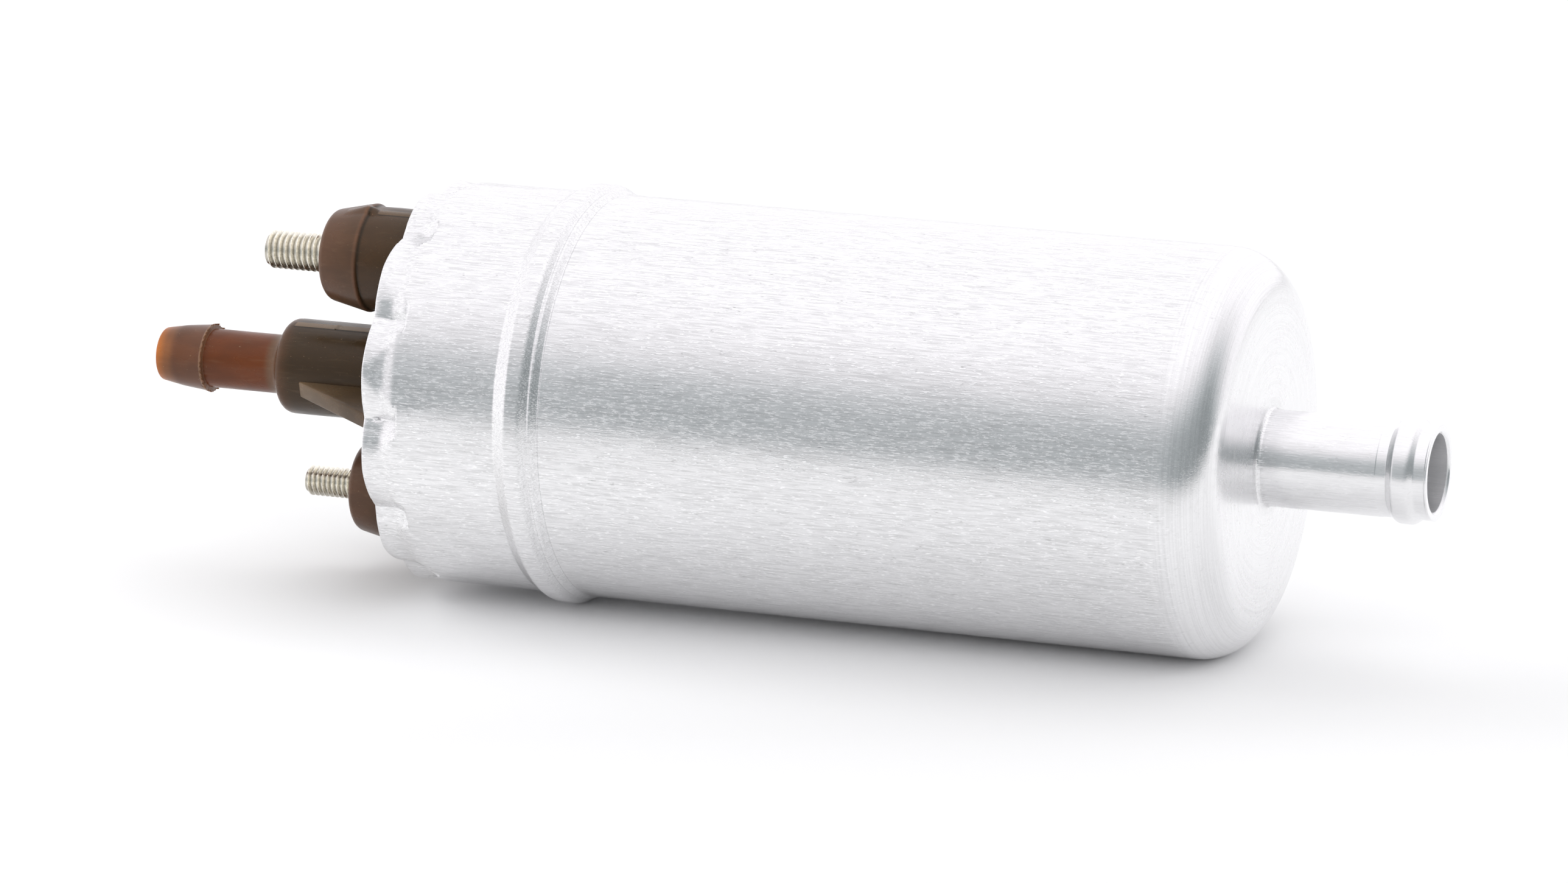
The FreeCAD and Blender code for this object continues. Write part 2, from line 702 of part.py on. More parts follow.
def make_shaft():
    body = new_body("armature_shaft")
    start = "(" + X_CARRIER + " - bush_overhang)"
    end = "(" + X_INLET + " + shaft_tail)"
    turn(body, "shaft_turned", [
        (start, "0"),
        (start, "shaft_radius"),
        (X_COLLAR, "shaft_radius"),
        (X_COLLAR, "collar_radius"),
        (X_COLLAR + " + collar_length", "collar_radius"),
        (X_COLLAR + " + collar_length", "shaft_radius"),
        (end, "shaft_radius"),
        (end, "0"),
    ])
    # Two flats drive the inner rotor.
    for label, sign in (("upper", ""), ("lower", "-")):
        edge = sign + "(shaft_radius - shaft_flat_depth)"
        beyond = sign + "(shaft_radius + cut_overrun)"
        flat = square_on("-shaft_radius", "shaft_radius", edge, beyond)
        extrude(body, "flat_" + label, "PartDesign::Pocket", X_RING, "ring_width + shaft_tail", outline=flat)
    seat(body)


def slot_outline(gap):
    """One slot between two teeth of the armature, widening outwards and drawn in by a gap all round."""
    half_tooth = " * tan(180 / slot_count) - armature_tooth_width / 2 / cos(180 / slot_count) - " + gap
    floor = "slot_floor_radius + " + gap
    roof = SLOT_ROOF + " - " + gap
    half_floor = "(slot_floor_radius" + half_tooth + ")"
    half_roof = "(" + SLOT_ROOF + half_tooth + ")"
    return [("-" + half_floor, floor), (half_floor, floor), (half_roof, roof), ("-" + half_roof, roof)]


def make_slotted_disc(name, station, length):
    """Laminations or an insulating disc: a round stack with open slots."""
    body = new_body(name)
    turn(body, name + "_disc", square_on(station, station + " + " + length, "shaft_radius + press_gap",
                                         CORE_RADIUS))
    slot = extrude(body, name + "_slot", "PartDesign::Pocket", station, length, outline=slot_outline("0"))
    repeat(body, slot, "slot_count")
    mouth = square_on("-slot_mouth / 2", "slot_mouth / 2", SLOT_ROOF + " - cut_overrun",
                      CORE_RADIUS + " + cut_overrun")
    opening = extrude(body, name + "_mouth", "PartDesign::Pocket", station, length, outline=mouth)
    repeat(body, opening, "slot_count")
    seat(body)


def make_windings():
    """Copper in the slots, joined by the end turns."""
    body = new_body("armature_windings")
    first = "(" + X_CORE + " - insulator_thickness)"
    last = "(" + X_CORE + " + " + CORE_LENGTH + " + insulator_thickness)"
    bars_start = "(" + first + " - end_turn_length / 2)"
    inner = "shaft_radius + end_turn_shaft_gap"
    outer = CORE_RADIUS + " - end_turn_margin"
    turn(body, "end_turns_outlet", square_on(first + " - end_turn_length", first, inner, outer))
    bar = extrude(body, "slot_bar", "PartDesign::Pad", bars_start,
                  last + " + end_turn_length / 2 - " + bars_start, outline=slot_outline("wire_gap"))
    repeat(body, bar, "slot_count")
    turn(body, "end_turns_pump", square_on(last, last + " + end_turn_length", inner, outer))
    seat(body)


def make_commutator():
    body = new_body("commutator")
    riser = "(" + X_COMMUTATOR + " + commutator_length)"
    riser_radius = "commutator_radius + riser_height"
    turn(body, "commutator_turned", [
        (X_COMMUTATOR, "shaft_radius + press_gap"),
        (X_COMMUTATOR, "commutator_radius"),
        (riser, "commutator_radius"),
        (riser, riser_radius),
        (riser + " + riser_length", riser_radius),
        (riser + " + riser_length", "shaft_radius + press_gap"),
    ])
    slit = square_on("-segment_slit / 2", "segment_slit / 2", "commutator_radius - segment_slit_depth",
                     riser_radius + " + cut_overrun")
    cut = extrude(body, "segment_slit_cut", "PartDesign::Pocket", X_COMMUTATOR,
                  "commutator_length + riser_length", outline=slit)
    repeat(body, cut, "slot_count")
    seat(body)


def make_magnets():
    start = X_MAGNET
    end = X_MAGNET + " + " + MAGNET_LENGTH
    for name, extra_turn in (("magnet_back", "0"), ("magnet_front", "180")):
        turned_piece(name, square_on(start, end, MAGNET_INNER, MAGNET_OUTER), extra_turn=extra_turn,
                     angle="magnet_angle")
    for name, extra_turn in (("magnet_clip_upper", "90"), ("magnet_clip_lower", "270")):
        turned_piece(name, square_on(start, end, MAGNET_OUTER + " - clip_thickness", MAGNET_OUTER),
                     extra_turn=extra_turn, angle=CLIP_ANGLE)


def drill_stage(body, name, station, screw_depth, relief_depth):
    """The stage's screw holes, the first on +Y, and its relief channel on +Z."""
    hole = extrude(body, name + "_screw_hole", "PartDesign::Pocket", station, screw_depth,
                   circle=SCREW_HOLE, centre=(SCREW_OFFSET, "0"))
    repeat(body, hole, "screw_count")
    extrude(body, name + "_relief_hole", "PartDesign::Pocket", station, relief_depth,
            circle="relief_channel_radius", centre=("0", RELIEF_OFFSET))


def make_stage_plates():
    """Bearing plate, eccentric ring and inlet plate, stacked against each other."""
    plate = new_body("bearing_plate")
    turn(plate, "plate_disc", square_on(X_PLATE, X_RING, "bush_radius", FIT_RADIUS))
    turn(plate, "outlet_port", square_on(X_PLATE, X_RING, PORT_INNER, PORT_OUTER),
         kind="PartDesign::Groove", angle="port_angle")
    drill_stage(plate, "plate", X_PLATE, "plate_thickness", "plate_thickness")
    seat(plate)

    ring = new_body("eccentric_ring")
    turn(ring, "ring_disc", square_on(X_RING, X_INLET, "shaft_radius", FIT_RADIUS))
    turn(ring, "rotor_bore", square_on(X_RING, X_INLET, "0", ROTOR_BORE),
         kind="PartDesign::Groove", across="-rotor_eccentricity")
    drill_stage(ring, "ring", X_RING, "ring_width", "ring_width")
    seat(ring)

    inlet = new_body("inlet_plate")
    pocket_end = "(" + X_INLET + " + shaft_tail + shaft_pocket_gap)"
    turn(inlet, "inlet_disc", [
        (X_INLET, "shaft_radius + running_gap"),
        (X_INLET, FIT_RADIUS),
        (X_STAGE_SEAL + " - " + SEAL_HALF, FIT_RADIUS),
        (X_STAGE_SEAL + " - " + SEAL_HALF, SEAL_FLOOR),
        (X_STAGE_SEAL + " + " + SEAL_HALF, SEAL_FLOOR),
        (X_STAGE_SEAL + " + " + SEAL_HALF, FIT_RADIUS),
        (X_CHAMBER, FIT_RADIUS),
        (X_CHAMBER, "0"),
        (pocket_end, "0"),
        (pocket_end, "shaft_radius + running_gap"),
    ])
    turn(inlet, "relief_boss", square_on(X_STAGE_SEAL, X_RELIEF_END, "0", "relief_boss_radius"),
         above=RELIEF_OFFSET)
    turn(inlet, "relief_bore", square_on(X_RELIEF_SEAT, X_RELIEF_END, "0", "relief_bore_radius"),
         kind="PartDesign::Groove", above=RELIEF_OFFSET)
    turn(inlet, "inlet_port", square_on(X_INLET, X_CHAMBER, "-" + PORT_OUTER, "-" + PORT_INNER),
         kind="PartDesign::Groove", angle="port_angle")
    drill_stage(inlet, "inlet", X_INLET, "inlet_thickness - screw_end_wall", "relief_wall")
    seat(inlet)


def make_stage_screws():
    """Socket-head screws that clamp the stage, alike, as one node."""
    screws = []
    for index in range(int(SIZES["screw_count"])):
        angle = "(%d * 360 / screw_count)" % index
        across = SCREW_OFFSET + " * cos" + angle
        above = SCREW_OFFSET + " * sin" + angle
        head = primitive("Part::Cylinder", "screw_head_%d" % index,
                         (X_PLATE + " - screw_head_height", across, above),
                         Radius="screw_head_radius", Height="screw_head_height")
        shank = primitive("Part::Cylinder", "screw_shank_%d" % index, (X_PLATE, across, above),
                          Radius="screw_radius",
                          Height=X_CHAMBER + " - screw_end_wall - screw_end_gap - " + X_PLATE)
        socket = primitive("Part::Prism", "screw_socket_%d" % index,
                           (X_PLATE + " - screw_head_height", across, above),
                           Circumradius="screw_socket_radius", Height="screw_socket_depth")
        screws.append(minus("screw_%d" % index, plus("screw_solid_%d" % index, [head, shank]), socket))
    finish("stage_screws", group("stage_screws", screws))


def make_outer_rotor():
    """Ring with inward round teeth, turning in the eccentric ring."""
    start = X_RING + " + rotor_side_gap"
    width = "ring_width - 2 * rotor_side_gap"
    offset = "-rotor_eccentricity"
    root = TOOTH_CIRCLE + " - " + TOOTH_RADIUS + " + 2 * rotor_eccentricity + lobe_gap"
    middle = (start, offset, "0")
    blank = primitive("Part::Cylinder", "outer_rotor_blank", middle, Radius=ROTOR_BORE + " - slip_gap",
                      Height=width)
    hollow = primitive("Part::Cylinder", "outer_rotor_hollow", middle, Radius=root, Height=width)
    teeth = []
    for index in range(int(SIZES["rotor_teeth"])):
        angle = "(%d * 360 / rotor_teeth)" % index
        across = offset + " + " + TOOTH_CIRCLE + " * cos" + angle
        above = TOOTH_CIRCLE + " * sin" + angle
        teeth.append(primitive("Part::Cylinder", "outer_rotor_tooth_%d" % index, (start, across, above),
                               Radius=TOOTH_RADIUS, Height=width))
    cavity = minus("outer_rotor_cavity", hollow, plus("outer_rotor_teeth", teeth))
    finish("outer_rotor", minus("outer_rotor", blank, cavity))


def make_inner_rotor():
    """Lobed rotor: one lobe fewer than the outer rotor has teeth, and always in touch with each tooth."""
    teeth = int(number("rotor_teeth"))
    pitch = number(TOOTH_CIRCLE)
    offset = number("rotor_eccentricity")
    tooth = number(TOOTH_RADIUS + " + lobe_gap")
    flat_half = number("shaft_radius - shaft_flat_depth + running_gap")
    bore = number("shaft_radius + running_gap")
    width = number("ring_width - 2 * rotor_side_gap")
    start = number(X_RING + " + rotor_side_gap")
    steps = int(number("rotor_points_per_lobe")) * (teeth - 1)
    points = []
    for step in range(steps):
        angle = 2 * math.pi * step / steps
        turned = (1 - teeth) * angle
        lean = math.atan2(math.sin(turned), pitch / (offset * teeth) - math.cos(turned))
        across = pitch * math.cos(angle) - tooth * math.cos(angle + lean) - offset * math.cos(teeth * angle)
        above = pitch * math.sin(angle) - tooth * math.sin(angle + lean) - offset * math.sin(teeth * angle)
        points.append(Vector(start, across, above))
    curve = Part.BSplineCurve()
    curve.interpolate(points, PeriodicFlag=True)
    outline = Part.Wire([curve.toShape()])
    solid = Part.Face(outline).extrude(Vector(width, 0, 0))
    hole = Part.makeCylinder(bore, width, Vector(start, 0, 0), Vector(1, 0, 0))
    across_flats = Part.makeBox(width, 2 * bore, 2 * flat_half, Vector(start, -bore, -flat_half))
    rotor = doc.addObject("Part::Feature", "inner_rotor")
    rotor.Label = "inner_rotor"
    rotor.Shape = solid.cut(hole.common(across_flats))
    seat(rotor)


def make_relief_valve():
    """Pressure limiter in the inlet plate: ball, spring and pressed plug."""
    ball = doc.addObject("Part::Sphere", "ball")
    drive(ball, "Radius", "relief_ball_radius")
    drive(ball, "Placement.Base.x", X_BALL)
    drive(ball, "Placement.Base.z", RELIEF_OFFSET)
    finish("relief_valve_ball", group("relief_valve_ball", [ball]))
    plug = "(" + X_RELIEF_END + " - relief_plug_length)"
    seat_end = X_BALL + " + relief_ball_radius - relief_spring_bite"
    turned_piece("relief_valve_spring", square_on(seat_end, plug + " - running_gap",
                                                  RELIEF_SPRING + " - relief_spring_wire",
                                                  RELIEF_SPRING), above=RELIEF_OFFSET)
    turned_piece("relief_valve_plug", square_on(plug, X_RELIEF_END, "relief_plug_hole",
                                                "relief_bore_radius - press_gap"), above=RELIEF_OFFSET)


def make_strainer():
    """Fine mesh cup over the inner end of the spigot."""
    cup = X_END + " - strainer_length"
    flange = X_END + " - strainer_wall"
    turned_piece("inlet_strainer", [
        (cup, "0"),
        (cup, "strainer_radius"),
        (flange, "strainer_radius"),
        (flange, "strainer_flange_radius"),
        (X_END, "strainer_flange_radius"),
        (X_END, "strainer_radius - strainer_wall"),
        (cup + " + strainer_wall", "strainer_radius - strainer_wall"),
        (cup + " + strainer_wall", "0"),
    ])


make_housing()
make_cover()
make_stud("terminal_stud_large", TERMINAL_OFFSET, "large_stud_radius", "large_stud_reach")
make_stud("terminal_stud_small", "-" + TERMINAL_OFFSET, "small_stud_radius", "small_stud_reach")
make_ring_seal("cover_seal", "seal_station")
make_check_valve()
make_brush_gear("upper", "0")
make_brush_gear("lower", "180")
make_carrier()
make_bearing("bearing_outlet", X_CARRIER + " - bush_overhang", X_CARRIER_END)
make_shaft()
make_commutator()
make_slotted_disc("insulator_outlet", "(" + X_CORE + " - insulator_thickness)", "insulator_thickness")
make_slotted_disc("armature_core", X_CORE, CORE_LENGTH)
make_slotted_disc("insulator_pump", "(" + X_CORE + " + " + CORE_LENGTH + ")", "insulator_thickness")
make_windings()
turned_piece("thrust_washer_outlet", square_on(X_WASHER, X_WASHER + " + washer_thickness",
                                               "shaft_radius + running_gap", "washer_radius"))
turned_piece("thrust_washer_pump", square_on(X_PUMP_WASHER, X_PUMP_WASHER + " + washer_thickness",
                                             "shaft_radius + running_gap", "washer_radius"))
turned_piece("flux_sleeve", square_on(X_SLEEVE, X_PLATE, SLEEVE_BORE, FIT_RADIUS))
make_magnets()
make_stage_plates()
make_bearing("bearing_pump", X_PLATE, X_RING)
make_inner_rotor()
make_outer_rotor()
make_stage_screws()
make_relief_valve()
make_ring_seal("stage_seal", X_STAGE_SEAL)
turned_piece("spacer_ring", square_on(X_CHAMBER, X_SHOULDER, FIT_RADIUS + " - spacer_wall", FIT_RADIUS))
make_strainer()

doc.recompute()

for item in doc.Objects:
    if "Invalid" in item.State or "Error" in item.State:
        raise RuntimeError("%s did not compute: %s" % (item.Label, item.State))
for piece in nodes:
    if piece.Shape.isNull() or not piece.Shape.isValid() or not piece.Shape.Solids:
        raise RuntimeError("%s has no valid solid" % piece.Label)

os.makedirs("parts", exist_ok=True)
for piece in nodes:
    piece.Shape.exportStep(os.path.join("parts", piece.Label + ".step"))
    print("%-24s solids %d  volume %9.2f mm3" % (piece.Label, len(piece.Shape.Solids), piece.Shape.Volume))
print(len(nodes), "nodes")
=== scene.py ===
"""Fuel pump: the finished look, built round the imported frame."""
import json
import math

import bmesh
import bpy
from bpy.props import FloatProperty, FloatVectorProperty, IntProperty, PointerProperty
from mathutils import Matrix, Vector, noise


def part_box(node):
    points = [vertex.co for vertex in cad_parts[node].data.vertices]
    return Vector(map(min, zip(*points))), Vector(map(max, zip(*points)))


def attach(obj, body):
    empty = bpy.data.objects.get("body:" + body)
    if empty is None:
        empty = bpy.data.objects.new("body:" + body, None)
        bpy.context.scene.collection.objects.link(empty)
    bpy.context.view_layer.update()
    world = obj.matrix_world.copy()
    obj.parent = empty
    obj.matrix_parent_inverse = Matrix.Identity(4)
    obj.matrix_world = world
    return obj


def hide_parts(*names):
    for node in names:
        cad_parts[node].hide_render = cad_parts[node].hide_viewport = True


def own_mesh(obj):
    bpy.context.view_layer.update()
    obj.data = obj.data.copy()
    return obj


bl_info = {
    "name": "Fuel pump",
    "version": (1, 0, 0),
    "blender": (4, 5, 0),
    "location": "3D View > Sidebar > Fuel pump",
    "description": "Builds the outside, the finishes and the stage of an in-line fuel pump",
    "category": "Object",
}

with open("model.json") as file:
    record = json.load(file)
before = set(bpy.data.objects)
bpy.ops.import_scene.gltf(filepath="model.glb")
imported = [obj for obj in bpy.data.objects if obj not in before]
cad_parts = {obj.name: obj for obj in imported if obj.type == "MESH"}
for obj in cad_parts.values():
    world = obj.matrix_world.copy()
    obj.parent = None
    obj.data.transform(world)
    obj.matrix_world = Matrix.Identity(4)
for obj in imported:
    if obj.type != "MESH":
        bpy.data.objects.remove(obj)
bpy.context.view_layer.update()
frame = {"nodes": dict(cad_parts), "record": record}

MM = 0.001
# The can's rim is station 0, and stations count along +X from it.
RIM_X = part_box("housing")[0].x
MOUTH = (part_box("housing")[1].x - RIM_X) / MM
NIPPLE_TIP = (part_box("end_cover")[0].x - RIM_X) / MM
LARGE_STUD_TIP = (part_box("terminal_stud_large")[0].x - RIM_X) / MM
SMALL_STUD_TIP = (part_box("terminal_stud_small")[0].x - RIM_X) / MM
STUD_FOOT = (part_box("terminal_stud_large")[1].x - RIM_X) / MM
BEAD_CREST = (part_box("housing")[1].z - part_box("housing")[0].z) / 2 / MM
# Share by which the can's faces crowd together at the stakes, and the turn of the first stake.
STAKE_CROWDING = 0.5
STAKE_TURN = math.radians(0.6)
PIT_STAKE = 9
# The mould's parting line leaves a narrow land along the dome and the necks, and flash at the collars.
LAND_HALF_WIDTH = 0.62 * MM
LAND_RISE = 0.08 * MM
LAND_GROOVE = (0.012, 0.008, 0.005)
DARK_CLOUDS = (0.02, 0.014, 0.01)
FLASH_ANGLE = math.radians(7)

VIEW_AZIMUTH = math.radians(20.826)
VIEW_HEIGHT = math.radians(14.586)
VIEWER = Vector((314.169, -870.059, 238.268)) * MM
LENS = 172.41
FLOOR_EDGE = 0.24
# Brightness of the studio as it mirrors in the metal, by the height of the direction.
SKY = ((-1.0, 0.9), (-0.25, 0.83), (-0.1, 0.64), (0.0, 0.55), (0.12, 0.54), (0.28, 0.58), (0.38, 0.64),
       (0.5, 0.83), (0.62, 0.99), (0.8, 1.18), (1.0, 1.25))
MIRRORED_WALL = 1.3
PLAIN_LIGHT = 0.74
TOWARD_VIEWER = Vector((math.sin(VIEW_AZIMUTH), -math.cos(VIEW_AZIMUTH), 0))
# Place, width and height, and power of each softbox.
SOFTBOXES = {
    "softbox_above": (Vector((0.2, 0.4, 0.95)), (1.3, 1.0), 3.1),
    "softbox_left": (Vector((-0.9, -0.1, 0.5)), (0.8, 0.8), 4.1),
    "softbox_right": (Vector((0.95, 0, 0.5)), (0.8, 0.8), 2.9),
    "softbox_front": (0.85 * TOWARD_VIEWER + Vector((0, 0, 0.6)), (1.6, 0.7), 4.2),
}


def length(label, size, about):
    """A size property, given in millimetres and kept in metres."""
    return FloatProperty(name=label, description=about, default=size * MM, unit="LENGTH", precision=5)


def colour(label, value, about):
    return FloatVectorProperty(name=label, description=about, default=value, size=3, min=0, max=1,
                               subtype="COLOR")


class CanSizes(bpy.types.PropertyGroup):
    radius: length("Can radius", 26, "Outside radius of the straight can")
    wall: length("Wall", 1.2, "Thickness of the drawn wall")
    rim_dip: length("Rim dip", 0.27, "How far the wall sinks between the rim and the stakes' steps")
    lip_radius: length("Lip radius", 24.15, "Inner radius of the lip that is turned in over the cover")
    bead_radius: length("Bead radius", BEAD_CREST, "Radius of the bead's crest")
    bead_station: length("Bead station", 21.45, "Where the bead's crest stands, from the rim")
    shoulder_start: length("Shoulder start", 106.0, "Where the straight can ends")
    face_station: length("Face station", 112.9, "Where the flat end stands")
    spigot_radius: length("Spigot radius", 6.1, "Outside radius of the suction spigot")
    spigot_bore: length("Spigot bore", 4.95, "Inside radius of the suction spigot")
    spigot_bead_station: length("Spigot bead station", 131.5, "Where the hose bead stands")
    spigot_bead_radius: length("Spigot bead radius", 6.65, "Radius of the hose bead's crest")
    mouth_station: length("Mouth station", MOUTH, "Where the spigot ends")
    stake_count: IntProperty(name="Stakes", description="Number of stake marks round the rim", default=12)
    stake_length: length("Stake length", 4.95, "How far a stake mark reaches from the rim")
    stake_half_width: length("Stake half width", 1.95, "Half the width of a stake's sheared step")
    stake_depth: length("Stake depth", 1.5, "How deep a stake presses the rim in")
    steps: IntProperty(name="Steps", description="Faces round the can", default=480)


class CoverSizes(bpy.types.PropertyGroup):
    nipple_tip: length("Nipple tip", NIPPLE_TIP, "Station of the nipple's tip")
    nipple_radius: length("Nipple radius", 3.87, "Radius of the nipple's plain part")
    nipple_bore: length("Nipple bore", 2.5, "Radius of the nipple's bore")
    barb_station: length("Barb station", -32.4, "Where the barb drops back to the nipple")
    barb_radius: length("Barb radius", 4.4, "Greatest radius of the barb")
    dome_station: length("Dome station", -21.4, "Where the dome's end face stands")
    dome_radius: length("Dome radius", 6.25, "Radius of the dome round the check valve")
    cover_station: length("Cover face", 1.2, "Where the cover's outer face stands, under the lip")
    flange_radius: length("Flange radius", 24.75, "Radius of the part inside the can")
    terminal_offset: length("Terminal offset", 17, "Distance of each terminal from the pump's axis")
    boss_station: length("Boss station", -12.8, "Where the boss faces stand")
    boss_face_radius: length("Boss face radius", 5.85, "Radius of a boss at its face")
    boss_rim_radius: length("Boss rim radius", 7.1, "Radius of a boss at its collar's rim")
    boss_neck_radius: length("Boss neck radius", 6.7, "Radius of a boss behind its collar")
    web_thickness: length("Web thickness", 2.2, "Thickness of the webs that brace the dome")
    web_start: length("Web start", -17.3, "Where a web leaves the dome")
    web_foot: length("Web foot", 18.4, "How far from the axis a web meets the cover")


class StudSizes(bpy.types.PropertyGroup):
    large_radius: length("Large stud radius", 2.5, "Half the large thread's nominal diameter")
    large_pitch: length("Large stud pitch", 0.8, "Pitch of the large thread")
    large_tip: length("Large stud tip", LARGE_STUD_TIP, "Station of the large stud's tip")
    small_radius: length("Small stud radius", 2, "Half the small thread's nominal diameter")
    small_pitch: length("Small stud pitch", 0.7, "Pitch of the small thread")
    small_tip: length("Small stud tip", SMALL_STUD_TIP, "Station of the small stud's tip")
    foot: length("Foot", STUD_FOOT, "Station of the studs' inner ends")


class SpringSizes(bpy.types.PropertyGroup):
    brush_radius: length("Brush spring radius", 2.8, "Outside radius of the springs behind the brushes")
    brush_wire: length("Brush spring wire", 0.5, "Wire of the brush springs")
    brush_turns: IntProperty(name="Brush spring turns", description="Turns of a brush spring", default=4)
    valve_radius: length("Valve spring radius", 3.6, "Outside radius of the outlet valve's spring")
    valve_wire: length("Valve spring wire", 0.6, "Wire of the outlet valve's spring")
    valve_turns: IntProperty(name="Valve spring turns", description="Turns of the outlet valve's spring",
                             default=7)
    relief_radius: length("Relief spring radius", 2.45, "Outside radius of the relief valve's spring")
    relief_wire: length("Relief spring wire", 0.6, "Wire of the relief valve's spring")
    relief_turns: IntProperty(name="Relief spring turns", description="Turns of the relief valve's spring",
                              default=5)


class PumpColours(bpy.types.PropertyGroup):
    can: colour("Can", (0.835, 0.834, 0.842), "Drawn aluminium")
    amber: colour("Amber", (0.48, 0.15, 0.026), "Thin translucent moulding at the nipple's tip")
    russet: colour("Russet", (0.132, 0.034, 0.008), "Moulding of the nipple")
    umber: colour("Umber", (0.044, 0.024, 0.009), "Thick moulding of the dome")
    collar: colour("Collar", (0.12, 0.056, 0.03), "Moulding of the boss collars")
    flash: colour("Flash", (0.42, 0.29, 0.18), "Thin edges and flash of the moulding")
    nickel: colour("Nickel", (0.87, 0.83, 0.73), "Plated studs")
    floor: colour("Floor", (0.87, 0.868, 0.876), "Studio floor")


class FuelPump(bpy.types.PropertyGroup):
    roll: FloatProperty(name="Roll", description="How far the terminals' line leans from upright, about +X",
                        default=math.radians(14), subtype="ANGLE")
    can: PointerProperty(type=CanSizes)
    cover: PointerProperty(type=CoverSizes)
    studs: PointerProperty(type=StudSizes)
    springs: PointerProperty(type=SpringSizes)
    colours: PointerProperty(type=PumpColours)


# Shapes


def corner(station, radius, rounding=0.0):
    """One corner of an outline in millimetres, with the radius it is rounded to."""
    return Vector((station, radius)), rounding


def smooth_outline(corners, arc_steps=5, closed=True):
    """Outline in metres, in the pump's X, with an arc at each rounded corner."""
    points = []
    count = len(corners)
    for i, (here, rounding) in enumerate(corners):
        if not rounding or (not closed and i in (0, count - 1)):
            points.append(here)
            continue
        before, after = corners[i - 1][0] - here, corners[(i + 1) % count][0] - here
        half = before.angle(after) / 2
        reach = min(rounding / math.tan(half), 0.49 * before.length, 0.49 * after.length)
        start, end = here + before.normalized() * reach, here + after.normalized() * reach
        for step in range(arc_steps + 1):
            share = step / arc_steps
            first, second = start.lerp(here, share), here.lerp(end, share)
            points.append(first.lerp(second, share))
    return [(RIM_X + p.x * MM, p.y * MM) for p in points]


def lathe(outline, steps, closed=True):
    """Solid of revolution about the pump's axis."""
    bm = bmesh.new()
    verts = [bm.verts.new((x, 0, r)) for x, r in outline]
    edges = [bm.edges.new(pair) for pair in zip(verts, verts[1:])]
    if closed:
        edges.append(bm.edges.new((verts[-1], verts[0])))
    bmesh.ops.spin(bm, geom=verts + edges, cent=(0, 0, 0), axis=(1, 0, 0), dvec=(0, 0, 0),
                   angle=math.tau, steps=steps, use_merge=True)
    bmesh.ops.remove_doubles(bm, verts=bm.verts, dist=MM / 5000)
    bmesh.ops.recalc_face_normals(bm, faces=bm.faces)
    return bm


def widen(vert, factor):
    """Moves a vertex straight away from the pump's axis, or towards it."""
    vert.co.y *= factor
    vert.co.z *= factor


def place(bm, name, material, nodes, sharp=30, rolled=False):
    """Turn a shape to the pump's roll, unless it already is, and make it a piece of the pump's body."""
    pump = bpy.context.scene.fuel_pump
    if not rolled:
        bmesh.ops.rotate(bm, verts=bm.verts, cent=(0, 0, 0), matrix=Matrix.Rotation(pump.roll, 3, "X"))
    mesh = bpy.data.meshes.new(name)
    bm.to_mesh(mesh)
    bm.free()
    mesh.polygons.foreach_set("use_smooth", [True] * len(mesh.polygons))
    mesh.set_sharp_from_angle(angle=math.radians(sharp))
    mesh.materials.append(material)
    piece = bpy.data.objects.new(name, mesh)
    bpy.context.scene.collection.objects.link(piece)
    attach(piece, "pump_body")
    if nodes:
        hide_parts(*nodes)
    return piece


# Finishes


class Nodes:
    """Short ways to add nodes to a tree."""

    def __init__(self, tree):
        self.tree = tree

    def node(self, kind, inputs=(), **settings):
        """Adds a node; each of its inputs is linked to a socket or set to a value."""
        new = self.tree.nodes.new(kind)
        for key, value in settings.items():
            setattr(new, key, value)
        for socket, value in dict(inputs).items():
            if isinstance(value, bpy.types.NodeSocket):
                self.tree.links.new(value, new.inputs[socket])
            else:
                new.inputs[socket].default_value = value
        return new

    def math(self, operation, first, second=0.0):
        return self.node("ShaderNodeMath", {0: first, 1: second}, operation=operation).outputs[0]

    def span(self, value, low, high, to_low=0.0, to_high=1.0, smooth=True):
        """Maps the stretch from low to high onto that from to_low to to_high, and holds its ends."""
        return self.node("ShaderNodeMapRange",
                         {"Value": value, "From Min": low, "From Max": high, "To Min": to_low,
                          "To Max": to_high},
                         interpolation_type="SMOOTHSTEP" if smooth else "LINEAR").outputs[0]

    def ramp(self, value, stops):
        """Soft colour ramp through (position, colour) stops."""
        new = self.node("ShaderNodeValToRGB", {"Fac": value})
        new.color_ramp.interpolation = "EASE"
        elements = new.color_ramp.elements
        while len(elements) < len(stops):
            elements.new(0.5)
        for element, (position, tint) in zip(elements, stops):
            element.position = position
            element.color = (*tint, 1)
        return new.outputs[0]


